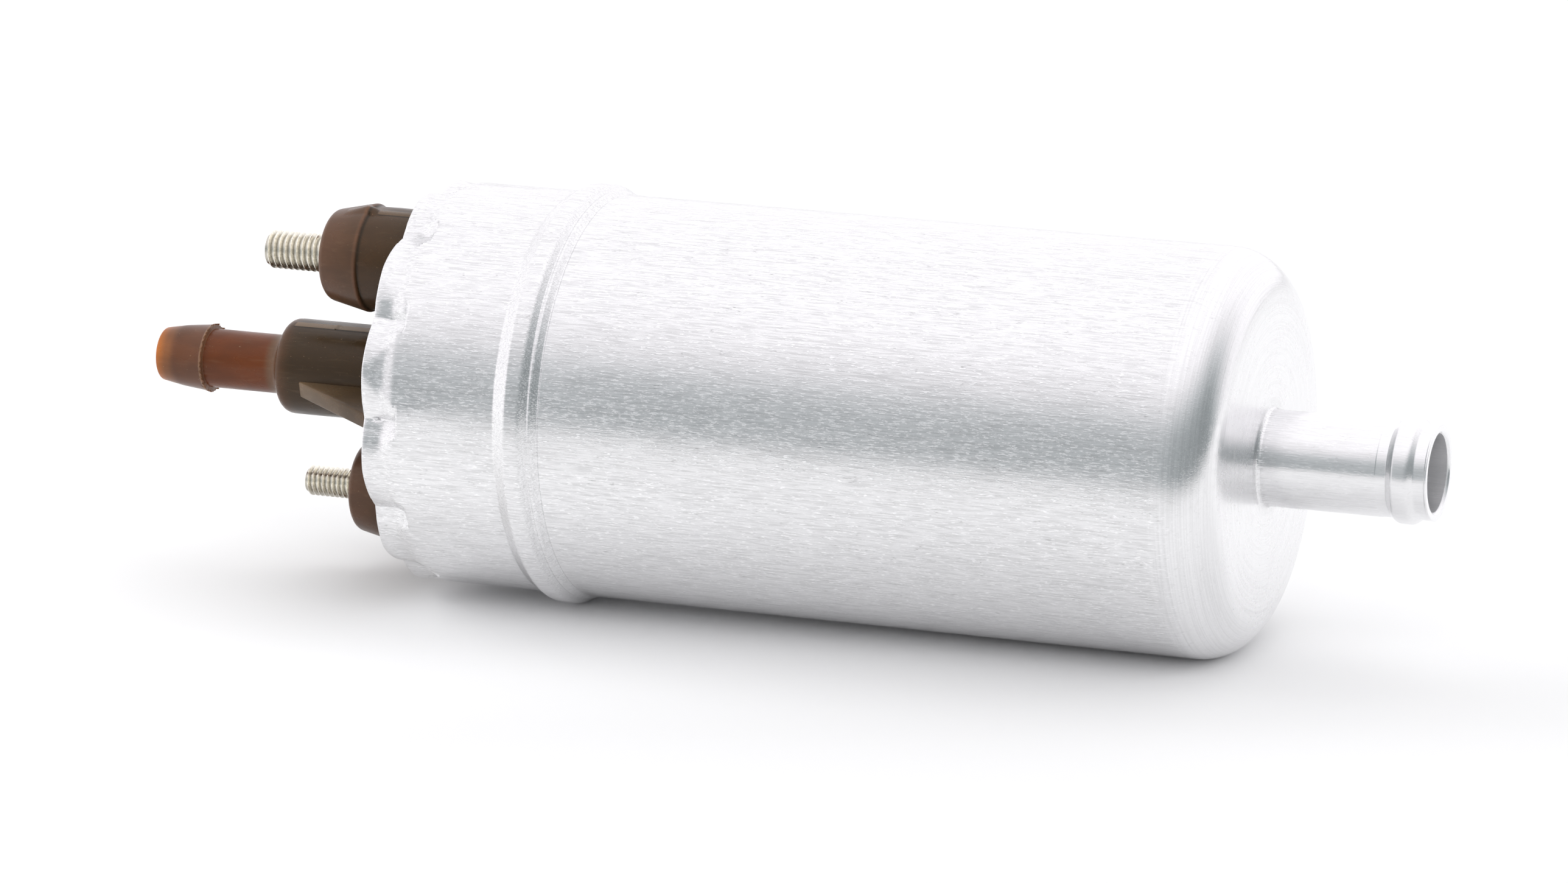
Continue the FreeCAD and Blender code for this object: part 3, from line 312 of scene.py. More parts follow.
class Finish(Nodes):
    """A material, its shader and short ways to drive them."""

    def __init__(self, name):
        self.material = bpy.data.materials.new(name)
        self.material.use_nodes = True
        super().__init__(self.material.node_tree)
        self.shader = self.tree.nodes["Principled BSDF"]
        self.coords = self.tree.nodes.new("ShaderNodeTexCoord").outputs["Object"]
        self.relief = None

    def set(self, **values):
        for key, value in values.items():
            self.shader.inputs[key.replace("_", " ")].default_value = value

    def split(self):
        return self.node("ShaderNodeSeparateXYZ", {0: self.coords}).outputs

    def distance(self, y, z):
        """Distance from an axis along X."""
        squares = self.math("ADD", self.math("MULTIPLY", y, y), self.math("MULTIPLY", z, z))
        return self.math("SQRT", squares)

    def grain(self, across, detail=2.0, roughness=0.5, vector=None):
        """Noise whose size along X, Y and Z is given in millimetres."""
        scale = [1 / (size * MM) for size in across]
        mapped = self.node("ShaderNodeMapping", {"Vector": vector or self.coords, "Scale": scale})
        return self.node("ShaderNodeTexNoise",
                         {"Vector": mapped.outputs[0], "Scale": 1.0, "Detail": detail,
                          "Roughness": roughness}).outputs["Fac"]

    def blend(self, factor, first, second):
        """Mixes two colours, each a value or a socket."""
        new = self.node("ShaderNodeMix", data_type="RGBA")
        for socket, value in (("Factor_Float", factor), ("A_Color", first), ("B_Color", second)):
            target = next(s for s in new.inputs if s.identifier == socket)
            if isinstance(value, bpy.types.NodeSocket):
                self.tree.links.new(value, target)
            else:
                target.default_value = value if socket == "Factor_Float" else (*value, 1)
        return next(s for s in new.outputs if s.identifier == "Result_Color")

    def colour(self, socket):
        self.tree.links.new(socket, self.shader.inputs["Base Color"])

    def roughness(self, socket):
        self.tree.links.new(socket, self.shader.inputs["Roughness"])

    def bump(self, height, strength, distance):
        """Adds one more layer of relief; distance is in millimetres."""
        layer = self.node("ShaderNodeBump", {"Height": height, "Strength": strength,
                                             "Distance": distance * MM})
        if self.relief:
            self.tree.links.new(self.relief, layer.inputs["Normal"])
        self.relief = layer.outputs[0]
        self.tree.links.new(self.relief, self.shader.inputs["Normal"])


def mix(first, second, share):
    """A colour part of the way from the first to the second."""
    return tuple(a + (b - a) * share for a, b in zip(first, second))


def shades(base, *factors):
    """The base colour lightened or darkened by each factor."""
    return [tuple(min(channel * factor, 1.0) for channel in base) for factor in factors]


def can_finish(base):
    """Drawn aluminium: fine dashes along the can, turning marks on the shoulder and the end."""
    can = bpy.context.scene.fuel_pump.can
    shoulder, face = RIM_X + can.shoulder_start, RIM_X + can.face_station
    groove = RIM_X + can.spigot_bead_station - 3.4 * MM
    look = Finish("drawn_aluminium")
    look.set(Metallic=1.0)
    x, y, z = look.split()
    radius = look.distance(y, z)
    # In the turning marks a radian counts as 6 mm of arc.
    arc = look.math("MULTIPLY", look.math("ARCTAN2", y, z), 6 * MM)
    turned = look.node("ShaderNodeCombineXYZ", {0: radius, 1: arc, 2: x})
    dashes = look.grain((3.2, 0.17, 0.17), detail=3, roughness=0.65)
    streaks = look.grain((9, 0.35, 0.35), detail=2)
    clouds = look.grain((16, 7, 7), detail=3)
    blotches = look.grain((2.4, 1.1, 1.1), detail=3, roughness=0.6)
    specks = look.grain((0.9, 0.16, 0.16), detail=2, roughness=0.6)
    lathe_marks = look.grain((0.09, 3.5, 0.3), detail=2, vector=turned.outputs[0])
    # The end and its shoulder were turned, and so was the spigot's tip, which leaves them smoother.
    on_end = look.span(x, shoulder - 2 * MM, shoulder + 3 * MM)
    on_face = look.span(radius, 8 * MM, 7 * MM, 1.0, 0.0)
    on_flat = look.math("MULTIPLY", look.span(x, face - 0.9 * MM, face - 0.1 * MM), on_face)
    on_neck = look.span(x, face + 0.7 * MM, face + 1.5 * MM)
    on_tip = look.span(x, groove, groove + 0.3 * MM)
    in_bore = look.math("MULTIPLY", on_end, look.span(
        radius, can.spigot_bore + 0.05 * MM, can.spigot_bore + 0.15 * MM, 1.0, 0.0))
    turned_part = look.math("MULTIPLY", on_end, on_face)
    smooth_part = look.math("ADD", look.math("MULTIPLY", on_neck, 0.55), look.math("MULTIPLY", on_tip, 0.2))
    smoothest = look.math("MAXIMUM", look.math("MULTIPLY", turned_part, 0.6), smooth_part)
    rough_part = look.math("SUBTRACT", 1.0, smoothest)
    speckled_part = look.math("MULTIPLY", rough_part, look.span(on_flat, 0.0, 1.0, 1.0, 0.12))
    marks = look.node("ShaderNodeMix", {"Factor": turned_part, "A": dashes, "B": lathe_marks}).outputs[0]
    deep, dark, light, bright = shades(base, 0.62, 0.8, 1.02, 1.18)
    worn = look.math("MULTIPLY", look.span(specks, 0.4, 0.33, 0.0, 1.0), look.span(blotches, 0.56, 0.66))
    skin = light
    for pattern, part, tint in (
            (look.span(marks, 0.3, 0.62, 1.0, 0.0), rough_part, dark),
            (look.span(streaks, 0.3, 0.4, 0.8, 0.0), speckled_part, dark),
            (look.span(specks, 0.58, 0.66), speckled_part, bright),
            (worn, speckled_part, deep)):
        skin = look.blend(look.math("MULTIPLY", pattern, part), skin, tint)
    look.colour(skin)
    uneven = look.span(blotches, 0.4, 0.7, 0.0, 0.07)
    rough = look.math("ADD", look.span(clouds, 0.3, 0.7, 0.13, 0.19), uneven)
    dull = look.math("ADD", look.math("MULTIPLY", in_bore, 0.3), look.math("MULTIPLY", on_flat, 0.07))
    look.roughness(look.math("ADD", rough, dull))
    for pattern, part, strength, height in (
            (marks, rough_part, 0.5, 0.02),
            (streaks, speckled_part, 0.2, 0.03),
            (blotches, speckled_part, 0.2, 0.02),
            (look.span(specks, 0.52, 0.68), speckled_part, 0.6, 0.012)):
        look.bump(look.math("MULTIPLY", pattern, part), strength, height)
    return look.material


def moulded_finish(name, stops, flash, land_start, land_sheen=0.3):
    """Brown translucent moulding: stops are (station, colour) pairs along the pump."""
    look = Finish(name)
    roll = bpy.context.scene.fuel_pump.roll
    x, y, z = look.split()
    across = look.math("ABSOLUTE", look.math("ADD", look.math("MULTIPLY", y, math.cos(roll)),
                                             look.math("MULTIPLY", z, math.sin(roll))))
    behind_start = look.span(x, RIM_X + land_start * MM, RIM_X + (land_start + 0.2) * MM)
    on_land = look.span(across, LAND_HALF_WIDTH - 0.1 * MM, LAND_HALF_WIDTH, 1.0, 0.0)
    on_land = look.math("MULTIPLY", behind_start, on_land)
    beside = look.math("ABSOLUTE", look.math("SUBTRACT", across, LAND_HALF_WIDTH + 0.08 * MM))
    land_edge = look.math("MULTIPLY", behind_start, look.span(beside, 0.06 * MM, 0.14 * MM, 0.7, 0.0))
    first, last = stops[0][0], stops[-1][0]
    along = look.span(x, RIM_X + first * MM, RIM_X + last * MM, smooth=False)
    moulding = look.ramp(along, [((station - first) / (last - first), tint) for station, tint in stops])
    clouds = look.grain((6, 3, 3), detail=3)
    flow = look.grain((4, 0.5, 0.5), detail=2)
    dust = look.grain((0.25, 0.25, 0.25), detail=1)
    tint = look.blend(look.span(clouds, 0.3, 0.72, 0.0, 0.32), moulding, DARK_CLOUDS)
    tint = look.blend(look.span(flow, 0.55, 0.8, 0.0, 0.05), tint, flash)
    tint = look.blend(look.span(dust, 0.74, 0.8, 0.0, 0.35), tint, flash)
    # Painted sheen: the parting land is lightened towards the flash colour, standing in for the bright
    # studio it mirrors.
    tint = look.blend(look.math("MULTIPLY", on_land, land_sheen), tint, flash)
    tint = look.blend(land_edge, tint, LAND_GROOVE)
    look.colour(tint)
    look.roughness(look.span(clouds, 0.3, 0.7, 0.25, 0.36))
    look.set(Specular_IOR_Level=0.26, Subsurface_Weight=0.12, Subsurface_Scale=2 * MM,
             Subsurface_Radius=(1.0, 0.45, 0.25))
    look.bump(clouds, 0.2, 0.12)
    look.bump(flow, 0.12, 0.03)
    return look.material


def plated_finish(base, above):
    """Bright plating, with painted shade at the thread's roots and on its underside, and a painted
    highlight on its crests.
    """
    look = Finish("nickel_plate_" + ("large" if above > 0 else "small"))
    roll = bpy.context.scene.fuel_pump.roll
    _, y, z = look.split()
    down_y = look.math("ADD", y, math.sin(roll) * above)
    down_z = look.math("SUBTRACT", z, math.cos(roll) * above)
    radius = look.distance(down_y, down_z)
    sizes = bpy.context.scene.fuel_pump.studs
    crest = sizes.large_radius if above > 0 else sizes.small_radius
    dark, light = shades(base, 0.66, 1.1)
    wear = look.grain((0.6, 0.4, 0.4), detail=3)
    # Painted shade and painted highlight: the plating is darker at the thread's roots and lighter on its
    # crests.
    skin = look.blend(look.span(radius, crest - 0.42 * MM, crest - 0.06 * MM), dark, light)
    skin = look.blend(look.span(wear, 0.4, 0.7, 0.0, 0.3), skin, shades(base, 0.6)[0])
    # Painted shade: the plating darkens towards the stud's underside.
    skin = look.blend(look.span(down_z, crest * 0.3, -crest, 0.0, 0.5), skin, shades(base, 0.36)[0])
    look.colour(skin)
    look.set(Metallic=1.0)
    look.roughness(look.span(wear, 0.3, 0.7, 0.2, 0.36))
    look.bump(wear, 0.2, 0.03)
    return look.material


def worked_finish(name, tint, grain_size, metallic, rough):
    """Inner piece: a worked surface with its grain and uneven tone."""
    look = Finish(name)
    marks = look.grain(grain_size, detail=3, roughness=0.6)
    clouds = look.grain((5, 5, 5), detail=2)
    dark, shady = shades(tint, 0.7, 0.8)
    skin = look.blend(look.span(marks, 0.32, 0.68), dark, tint)
    skin = look.blend(look.span(clouds, 0.4, 0.75, 0.0, 0.4), skin, shady)
    look.colour(skin)
    look.set(Metallic=metallic)
    look.roughness(look.span(clouds, 0.3, 0.7, rough - 0.06, rough + 0.1))
    look.bump(marks, 0.3, 0.03)
    return look.material


# Pieces


def smooth_share(value):
    """Smooth step from 0 to 1."""
    value = min(max(value, 0.0), 1.0)
    return value * value * (3 - 2 * value)


def rim_dent(can, station, angle):
    """How far the staking presses the can's wall in, at a station from the rim and an angle."""
    pitch = math.tau / can.stake_count
    turned = angle - STAKE_TURN
    # The marks differ a little in place and in depth.
    index = math.floor(turned / pitch) % can.stake_count
    offset = (turned % pitch - pitch / 2) * can.radius + 0.12 * MM * math.sin(1.7 * index)
    across = abs(offset)
    along = min(max(station / can.stake_length, 0.0), 1.0)
    lobe = pitch * can.radius / 2
    half_width = lobe + (can.stake_half_width - lobe) * smooth_share(along)
    share = max(0.0, 1 - across / half_width)
    depth = can.stake_depth * (1 - 0.35 * along) * (1 + 0.12 * math.sin(2.3 * index + 1))
    # One flank of a mark is a flat scoop and the other falls away steeply, the more so near its step.
    dent = depth * share ** (1.5 - 0.5 * along if offset < 0 else 1.5 + 1.6 * along)
    dent += 0.18 * MM * smooth_share(1.6 * along - 0.4) * smooth_share((half_width - across) / (0.25 * MM))
    if index == PIT_STAKE:
        dent += 0.5 * MM * math.exp(-((station - 1.9 * MM) / (0.35 * MM)) ** 2 - (across / (0.2 * MM)) ** 2)
    wave = min(max(station - 0.4 * MM, 0.0) / (4.3 * MM), 1.0)
    dip = can.rim_dip * (0.5 - 0.5 * math.cos(math.tau * wave))
    # The step's edge leans a little towards the rim.
    lean = min(max((can.stake_length + 0.34 * MM - station) / (0.26 * MM), 0.0), 1.0)
    lean *= 0.08 * MM * smooth_share((can.stake_half_width - across) / (0.3 * MM))
    return dip + lean + dent * (1 - smooth_share((station - can.stake_length + 0.22 * MM) / (0.3 * MM)))


def can_outline(can):
    """Closed outline of the can's wall, outside first, from the rim to the spigot and back inside."""
    def mm(value):
        return value / MM
    radius, wall = mm(can.radius), mm(can.wall)
    bead, crest = mm(can.bead_station), mm(can.bead_radius)
    face, mouth = mm(can.face_station), mm(can.mouth_station)
    spigot, bore = mm(can.spigot_radius), mm(can.spigot_bore)
    ring, ring_crest = mm(can.spigot_bead_station), mm(can.spigot_bead_radius)
    shoulder = face - mm(can.shoulder_start)
    points = [corner(0, mm(can.lip_radius)), corner(0, radius, 0.45)]
    # Close stations as far as the stakes reach, closest at their steps.
    points += [corner(0.5 + 0.28 * step, radius) for step in range(15)]
    points += [corner(mm(can.stake_length) + 0.06 * step, radius) for step in range(-5, 7)]
    points += [
        corner(bead - 3.0, radius, 0.8), corner(bead - 1.2, crest, 1.0),
        corner(bead + 0.8, crest, 1.0), corner(bead + 1.66, radius + 0.36, 0.18),
        corner(bead + 1.95, radius + 0.46, 0.1), corner(bead + 2.15, radius + 0.4, 0.12),
        corner(bead + 2.9, radius - 0.16, 0.2), corner(bead + 3.15, radius, 0.12),
        corner(60, radius), corner(mm(can.shoulder_start), radius),
    ]
    for step in range(1, 15):
        turn = math.pi / 2 * step / 15
        points.append(corner(face - shoulder * (1 - math.sin(turn)),
                             radius - shoulder * (1 - math.cos(turn))))
    points += [
        corner(face, radius - shoulder), corner(face, 14), corner(face, 9),
        corner(face, spigot, 0.65),
        corner(ring - 3.3, spigot), corner(ring - 3.2, spigot - 0.06),
        corner(ring - 1.9, spigot - 0.06, 0.3),
        corner(ring - 1.1, ring_crest + 0.05, 1.1), corner(ring + 0.8, ring_crest + 0.05, 1.1),
        corner(ring + 1.6, spigot - 0.1, 0.35), corner(ring + 2.95, spigot - 0.1, 0.1),
        corner(ring + 3.1, spigot - 0.02, 0.1), corner(mouth, spigot - 0.03, 0.5),
        corner(mouth, bore + 0.3, 0.2), corner(mouth - 0.35, bore, 0.1),
        corner(face - wall, bore), corner(face - wall, radius - shoulder),
        corner(face - wall - 1.6, radius - wall - 1.6), corner(mm(can.shoulder_start), radius - wall),
    ]
    points += [corner(station, radius - wall) for station in (5.6, 4.8, 4, 3.2, 2.4, 1.8, wall)]
    points.append(corner(wall, mm(can.lip_radius)))
    return smooth_outline(points)


def make_can(pump):
    """Drawn can with bead, turned-in and staked rim, shoulder, flat end and suction spigot."""
    can = pump.can
    bm = lathe(can_outline(can), can.steps)
    pitch = math.tau / can.stake_count
    inside = can.radius - can.wall
    for vert in bm.verts:
        station = vert.co.x - RIM_X
        if station > can.stake_length + MM:
            continue
        radius = math.hypot(vert.co.y, vert.co.z)
        angle = math.atan2(vert.co.y, vert.co.z)
        # The stakes stand about half a pitch from the terminals' line, and faces crowd together at them.
        offset = (angle - STAKE_TURN) % pitch - pitch / 2
        angle -= STAKE_CROWDING * pitch / math.tau * math.sin(math.tau * offset / pitch)
        dent = rim_dent(can, station, angle)
        if radius < inside - MM / 20:
            radius -= 0.8 * dent
        elif radius < inside + MM / 20:
            radius = min(radius, can.radius - dent - 0.3 * MM)
        else:
            radius -= dent
        vert.co.y = radius * math.sin(angle)
        vert.co.z = radius * math.cos(angle)
    place(bm, "can", can_finish(pump.colours.can), ["housing"], sharp=24)


def make_cover(pump):
    """Moulded cover: nipple with its barb, dome, flange and skirt."""
    cover, colours = pump.cover, pump.colours
    tip, tube, bore = cover.nipple_tip / MM, cover.nipple_radius / MM, cover.nipple_bore / MM
    barb, barb_radius = cover.barb_station / MM, cover.barb_radius / MM
    dome, dome_radius = cover.dome_station / MM, cover.dome_radius / MM
    face, flange = cover.cover_station / MM, cover.flange_radius / MM
    # Inside the can: seal groove, skirt, carrier seat, and the ledge and bore of the check valve.
    groove, groove_end, groove_floor = face + 9.8, face + 12.4, flange - 1.9
    skirt_end, skirt_inside, inner_face = face + 19.3, flange - 3.75, face + 6.3
    seat, seat_radius, ledge, ledge_radius = face + 4, 8.02, face + 2.5, 7
    valve_floor, valve_radius = face - 15.2, 4.4
    outline = smooth_outline([
        corner(tip, bore + 0.2, 0.15), corner(tip, tube - 0.42, 0.55), corner(tip + 3, tube + 0.12, 8),
        corner(barb - 0.35, barb_radius - 0.02), corner(barb - 0.2, barb_radius + 0.03),
        corner(barb - 0.1, barb_radius + 0.1), corner(barb + 0.02, barb_radius + 0.08),
        corner(barb + 0.06, barb_radius - 0.05), corner(barb + 0.12, tube, 0.1),
        corner(dome - 0.2, tube, 1.7), corner(dome + 0.35, dome_radius, 1.8),
        corner(face, dome_radius, 0.3), *(corner(face + 0.8 * step, flange) for step in range(6)),
        corner(groove, flange), corner(groove, groove_floor), corner(groove_end, groove_floor),
        corner(groove_end, flange), corner(skirt_end, flange), corner(skirt_end, skirt_inside),
        corner(inner_face, skirt_inside), corner(inner_face, seat_radius), corner(seat, seat_radius),
        corner(seat, ledge_radius), corner(ledge, ledge_radius), corner(ledge, valve_radius),
        corner(valve_floor, valve_radius), corner(valve_floor, bore),
    ])
    bm = lathe(outline, 192)
    for vert in bm.verts:
        radius = math.hypot(vert.co.y, vert.co.z)
        station = vert.co.x - RIM_X
        if radius > cover.flange_radius - MM / 20 and station < 5.3 * MM:
            # The stakes press the wall into the flange.
            dent = rim_dent(pump.can, station, math.atan2(vert.co.y, vert.co.z))
            widen(vert, min(1, (pump.can.radius - dent - 0.4 * MM) / radius))
        elif station < (barb + 1) * MM and radius > cover.barb_radius + 0.05 * MM:
            # The barb's edge is ragged where the mould's slides met.
            shake = noise.noise(vert.co / (0.4 * MM)) * 0.5 * MM
            vert.co.x += shake
            widen(vert, 1 + 0.2 * shake / radius)
        on_dome = (dome + 1.7) * MM < station < (face - 0.1) * MM
        if on_dome and abs(vert.co.y) < LAND_HALF_WIDTH and vert.co.z > cover.dome_radius / 2:
            vert.co.z = cover.dome_radius + LAND_RISE
    cone, edge = mix(colours.collar, colours.russet, 0.4), mix(colours.flash, colours.russet, 0.6)
    stops = [
        (tip, colours.amber), (tip + 1.7, mix(colours.amber, colours.collar, 0.7)), (tip + 3.0, cone),
        (barb - 0.25, cone), (barb - 0.1, edge), (barb + 0.02, edge), (barb + 0.14, colours.russet),
        (dome - 2.3, colours.russet), (dome - 1.1, mix(colours.collar, colours.flash, 0.1)),
        (dome + 0.5, mix(colours.collar, colours.umber, 0.4)), (dome + 3.0, colours.umber),
        (face, colours.umber),
    ]
    plastic = moulded_finish("brown_moulding", stops, colours.flash, dome + 1.6)
    place(bm, "cover", plastic, ["end_cover"])


def make_bosses(pump):
    """Terminal bosses: a collar that widens to a rim, a neck, and the parting flat along it."""
    cover, colours = pump.cover, pump.colours
    start, face = cover.boss_station / MM, cover.cover_station / MM
    face_radius, rim = cover.boss_face_radius / MM, cover.boss_rim_radius / MM
    neck, hole = cover.boss_neck_radius / MM, pump.studs.large_radius / MM + 0.42
    # The collar's rim and the neck's start, then the flash's first and last station.
    crest, step = start + 5.65, start + 6.0
    flash_start, flash_end = start + 4.7, start + 6.9
    stops = [
        (start, mix(colours.collar, colours.flash, 0.06)),
        (start + 0.9, mix(colours.collar, colours.umber, 0.2)),
        (start + 5.2, mix(colours.collar, colours.umber, 0.5)),
        # Painted shade: the dark stop at the neck's start darkens the concave corner behind the collar's
        # rim.
        (crest, mix(colours.collar, colours.flash, 0.03)), (step, shades(colours.umber, 0.6)[0]),
        (start + 6.4, mix(colours.umber, colours.collar, 0.2)), (face, colours.umber),
    ]
    plastic = moulded_finish("brown_moulding_bosses", stops, colours.flash, start + 7, 0.12)
    for name, side in (("boss_upper", 1), ("boss_lower", -1)):
        outline = smooth_outline([
            corner(start, hole), corner(start, face_radius, 1.1), corner(start + 2.4, rim - 0.72, 2.5),
            corner(crest, rim, 0.55), corner(step, neck, 0.4), corner(step + 0.5, neck),
            corner(step + 0.95, neck), corner(step + 2.5, neck + 0.03),
            corner(face + 3.1, neck), corner(face + 3.1, hole),
        ])
        bm = lathe(outline, 128)
        for vert in bm.verts:
            station = (vert.co.x - RIM_X) / MM
            angle = abs(math.atan2(vert.co.y, vert.co.z * side))
            if flash_start < station < flash_end and angle < FLASH_ANGLE:
                # Flash stands proud where the mould halves met, and its tongue reaches over the neck.
                radius = math.hypot(vert.co.y, vert.co.z)
                tongue = max(radius, cover.boss_rim_radius - max(station - start - 5.6, 0) * 0.3 * MM)
                proud = tongue - radius + 0.3 * MM * (1 - angle / FLASH_ANGLE) ** 0.5
                widen(vert, 1 + proud / radius)
            elif station > flash_end and abs(vert.co.y) < LAND_HALF_WIDTH and vert.co.z * side > 3 * MM:
                vert.co.z = side * (cover.boss_neck_radius + LAND_RISE)
        bmesh.ops.translate(bm, verts=bm.verts, vec=(0, 0, side * cover.terminal_offset))
        place(bm, name, plastic, ["end_cover"])


def make_webs(pump):
    """Webs that brace the dome against the cover, one on each side."""
    cover, colours = pump.cover, pump.colours
    start, face = cover.web_start / MM, cover.cover_station / MM
    root, top, foot = 5.3, cover.dome_radius / MM, cover.web_foot / MM
    stops = [(start, mix(colours.umber, colours.flash, 0.3)),
             (start + 9, mix(colours.umber, colours.flash, 0.12)),
             (face, mix(colours.umber, colours.collar, 0.4))]
    plastic = moulded_finish("brown_moulding_webs", stops, colours.flash, face)
    for name, side in (("web_front", -1), ("web_back", 1)):
        bm = bmesh.new()
        half = cover.web_thickness / 2
        points = [(start, root), (start, top + 0.1), (face + 3.1, foot), (face + 3.1, root)]
        verts = [bm.verts.new((RIM_X + x * MM, side * y * MM, -half)) for x, y in points]
        bottom = bm.faces.new(verts)
        top_face = bmesh.ops.extrude_face_region(bm, geom=[bottom])["geom"]
        bmesh.ops.translate(bm, verts=[g for g in top_face if isinstance(g, bmesh.types.BMVert)],
                            vec=(0, 0, 2 * half))
        bmesh.ops.recalc_face_normals(bm, faces=bm.faces)
        bmesh.ops.bevel(bm, geom=bm.edges[:], offset=0.22 * MM, offset_type="OFFSET", segments=3,
                        profile=0.5, affect="EDGES", material=-1)
        bmesh.ops.triangulate(bm, faces=[f for f in bm.faces if len(f.verts) > 4])
        place(bm, name, plastic, ["end_cover"], sharp=40)


def thread(radius, pitch, tip, end, chamfer):
    """Right-handed V thread, all in metres, closed at both ends."""
    steps, depth = 48, 0.6 * pitch
    bm = bmesh.new()
    ring = []
    turns = math.ceil((end - tip) / pitch) + 4
    for turn in range(turns):
        base = tip + (turn - 2) * pitch
        # Across one pitch: the root, the rising flank, the crest, and the flank down to the next root.
        for share, down in ((0, depth), (0.22, depth), (0.5, 0), (0.66, 0)):
            ring.append(bm.verts.new((RIM_X + base + share * pitch, 0, radius - down)))
    edges = [bm.edges.new(pair) for pair in zip(ring, ring[1:])]
    bmesh.ops.spin(bm, geom=ring + edges, cent=(0, 0, 0), axis=(1, 0, 0), dvec=(pitch / steps, 0, 0),
                   angle=math.tau, steps=steps)
    bmesh.ops.remove_doubles(bm, verts=bm.verts, dist=MM / 500)
    for station, direction in ((tip, -1), (end, 1)):
        bmesh.ops.bisect_plane(bm, geom=bm.verts[:] + bm.edges[:] + bm.faces[:], dist=MM / 2000,
                               plane_co=(RIM_X + station, 0, 0), plane_no=(direction, 0, 0),
                               clear_outer=True)
        rim = [e for e in bm.edges if e.is_boundary
               and all(abs(v.co.x - RIM_X - station) < MM / 100 for v in e.verts)]
        bmesh.ops.holes_fill(bm, edges=rim, sides=0)
    for vert in bm.verts:
        limit = radius - max(0, tip + chamfer - (vert.co.x - RIM_X))
        across = math.hypot(vert.co.y, vert.co.z)
        if across > limit:
            widen(vert, limit / across)
    bmesh.ops.recalc_face_normals(bm, faces=bm.faces)
    return bm


def make_studs(pump):
    """Threaded terminals with the shank and head that hold them in the cover."""
    studs, cover = pump.studs, pump.cover
    face = cover.boss_station
    for size, radius, pitch, tip, side in (
            ("large", studs.large_radius, studs.large_pitch, studs.large_tip, 1),
            ("small", studs.small_radius, studs.small_pitch, studs.small_tip, -1)):
        bm = thread(radius - 0.01 * MM, pitch, tip, face + 0.2 * MM, 0.45 * MM)
        shank, foot, head = radius / MM + 0.4, studs.foot / MM, 3.3
        shank_bm = lathe(smooth_outline([
            corner(face / MM, 0), corner(face / MM, shank), corner(foot - 1.5, shank),
            corner(foot - 1.5, head), corner(foot, head, 0.2), corner(foot, 0)],
            closed=False), 64, closed=False)
        spare = bpy.data.meshes.new("shank")
        shank_bm.to_mesh(spare)
        shank_bm.free()
        bm.from_mesh(spare)
        bpy.data.meshes.remove(spare)
        above = side * cover.terminal_offset
        bmesh.ops.translate(bm, verts=bm.verts, vec=(0, 0, above))
        place(bm, "stud_" + size, plated_finish(pump.colours.nickel, above), ["terminal_stud_" + size],
              sharp=20)


def coil(radius, wire, turns, end):
    """Spring wire wound about Z from the origin up to end, with its first and last turn closed."""
    steps = 32
    bm = bmesh.new()
    section = Matrix.Translation((radius - wire / 2, 0, wire / 2)) @ Matrix.Rotation(math.pi / 2, 4, "X")
    bmesh.ops.create_circle(bm, cap_ends=True, radius=wire / 2, segments=10, matrix=section)
    front = bm.verts[:] + bm.edges[:] + bm.faces[:]
    for count, rise in ((1, wire), (turns - 2, (end - 3 * wire) / (turns - 2)), (1, wire)):
        front = bmesh.ops.spin(bm, geom=front, cent=(0, 0, 0), axis=(0, 0, 1), dvec=(0, 0, rise / steps),
                               angle=math.tau * count, steps=steps * count)["geom_last"]
    bmesh.ops.recalc_face_normals(bm, faces=bm.faces)
    return bm


def make_springs(pump):
    """Wound springs that stand on their fixed ends."""
    sizes = pump.springs
    wound = {
        "brush_spring_upper": (sizes.brush_radius, sizes.brush_wire, sizes.brush_turns),
        "brush_spring_lower": (sizes.brush_radius, sizes.brush_wire, sizes.brush_turns),
        "check_valve_spring": (sizes.valve_radius, sizes.valve_wire, sizes.valve_turns),
        "relief_valve_spring": (sizes.relief_radius, sizes.relief_wire, sizes.relief_turns),
    }
    tint, _, metallic, rough = INNER_FINISHES["bright_steel"]
    steel = worked_finish("spring_steel", tint, (0.3, 0.3, 0.3), metallic, rough)
    for joint in frame["record"]["behaviour"]["joints"]:
        for row in joint.get("deforming_nodes", ()):
            node = row["node"]
            radius, wire, turns = wound[node]
            fixed, travel = Vector(row["fixed_end_m"]), joint["range_m"][1]
            axis = Vector(joint["axis"]).normalized()
            low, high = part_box(node)
            end = 2 * ((low + high) / 2 - fixed).dot(-axis)
            bm = coil(radius, wire, turns, end)
            turn = Vector((0, 0, 1)).rotation_difference(-axis).to_matrix()
            bmesh.ops.rotate(bm, verts=bm.verts, cent=(0, 0, 0), matrix=turn)
            bmesh.ops.translate(bm, verts=bm.verts, vec=fixed)
            piece = place(bm, node + "_wire", steel, [node], sharp=60, rolled=True)
            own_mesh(piece)


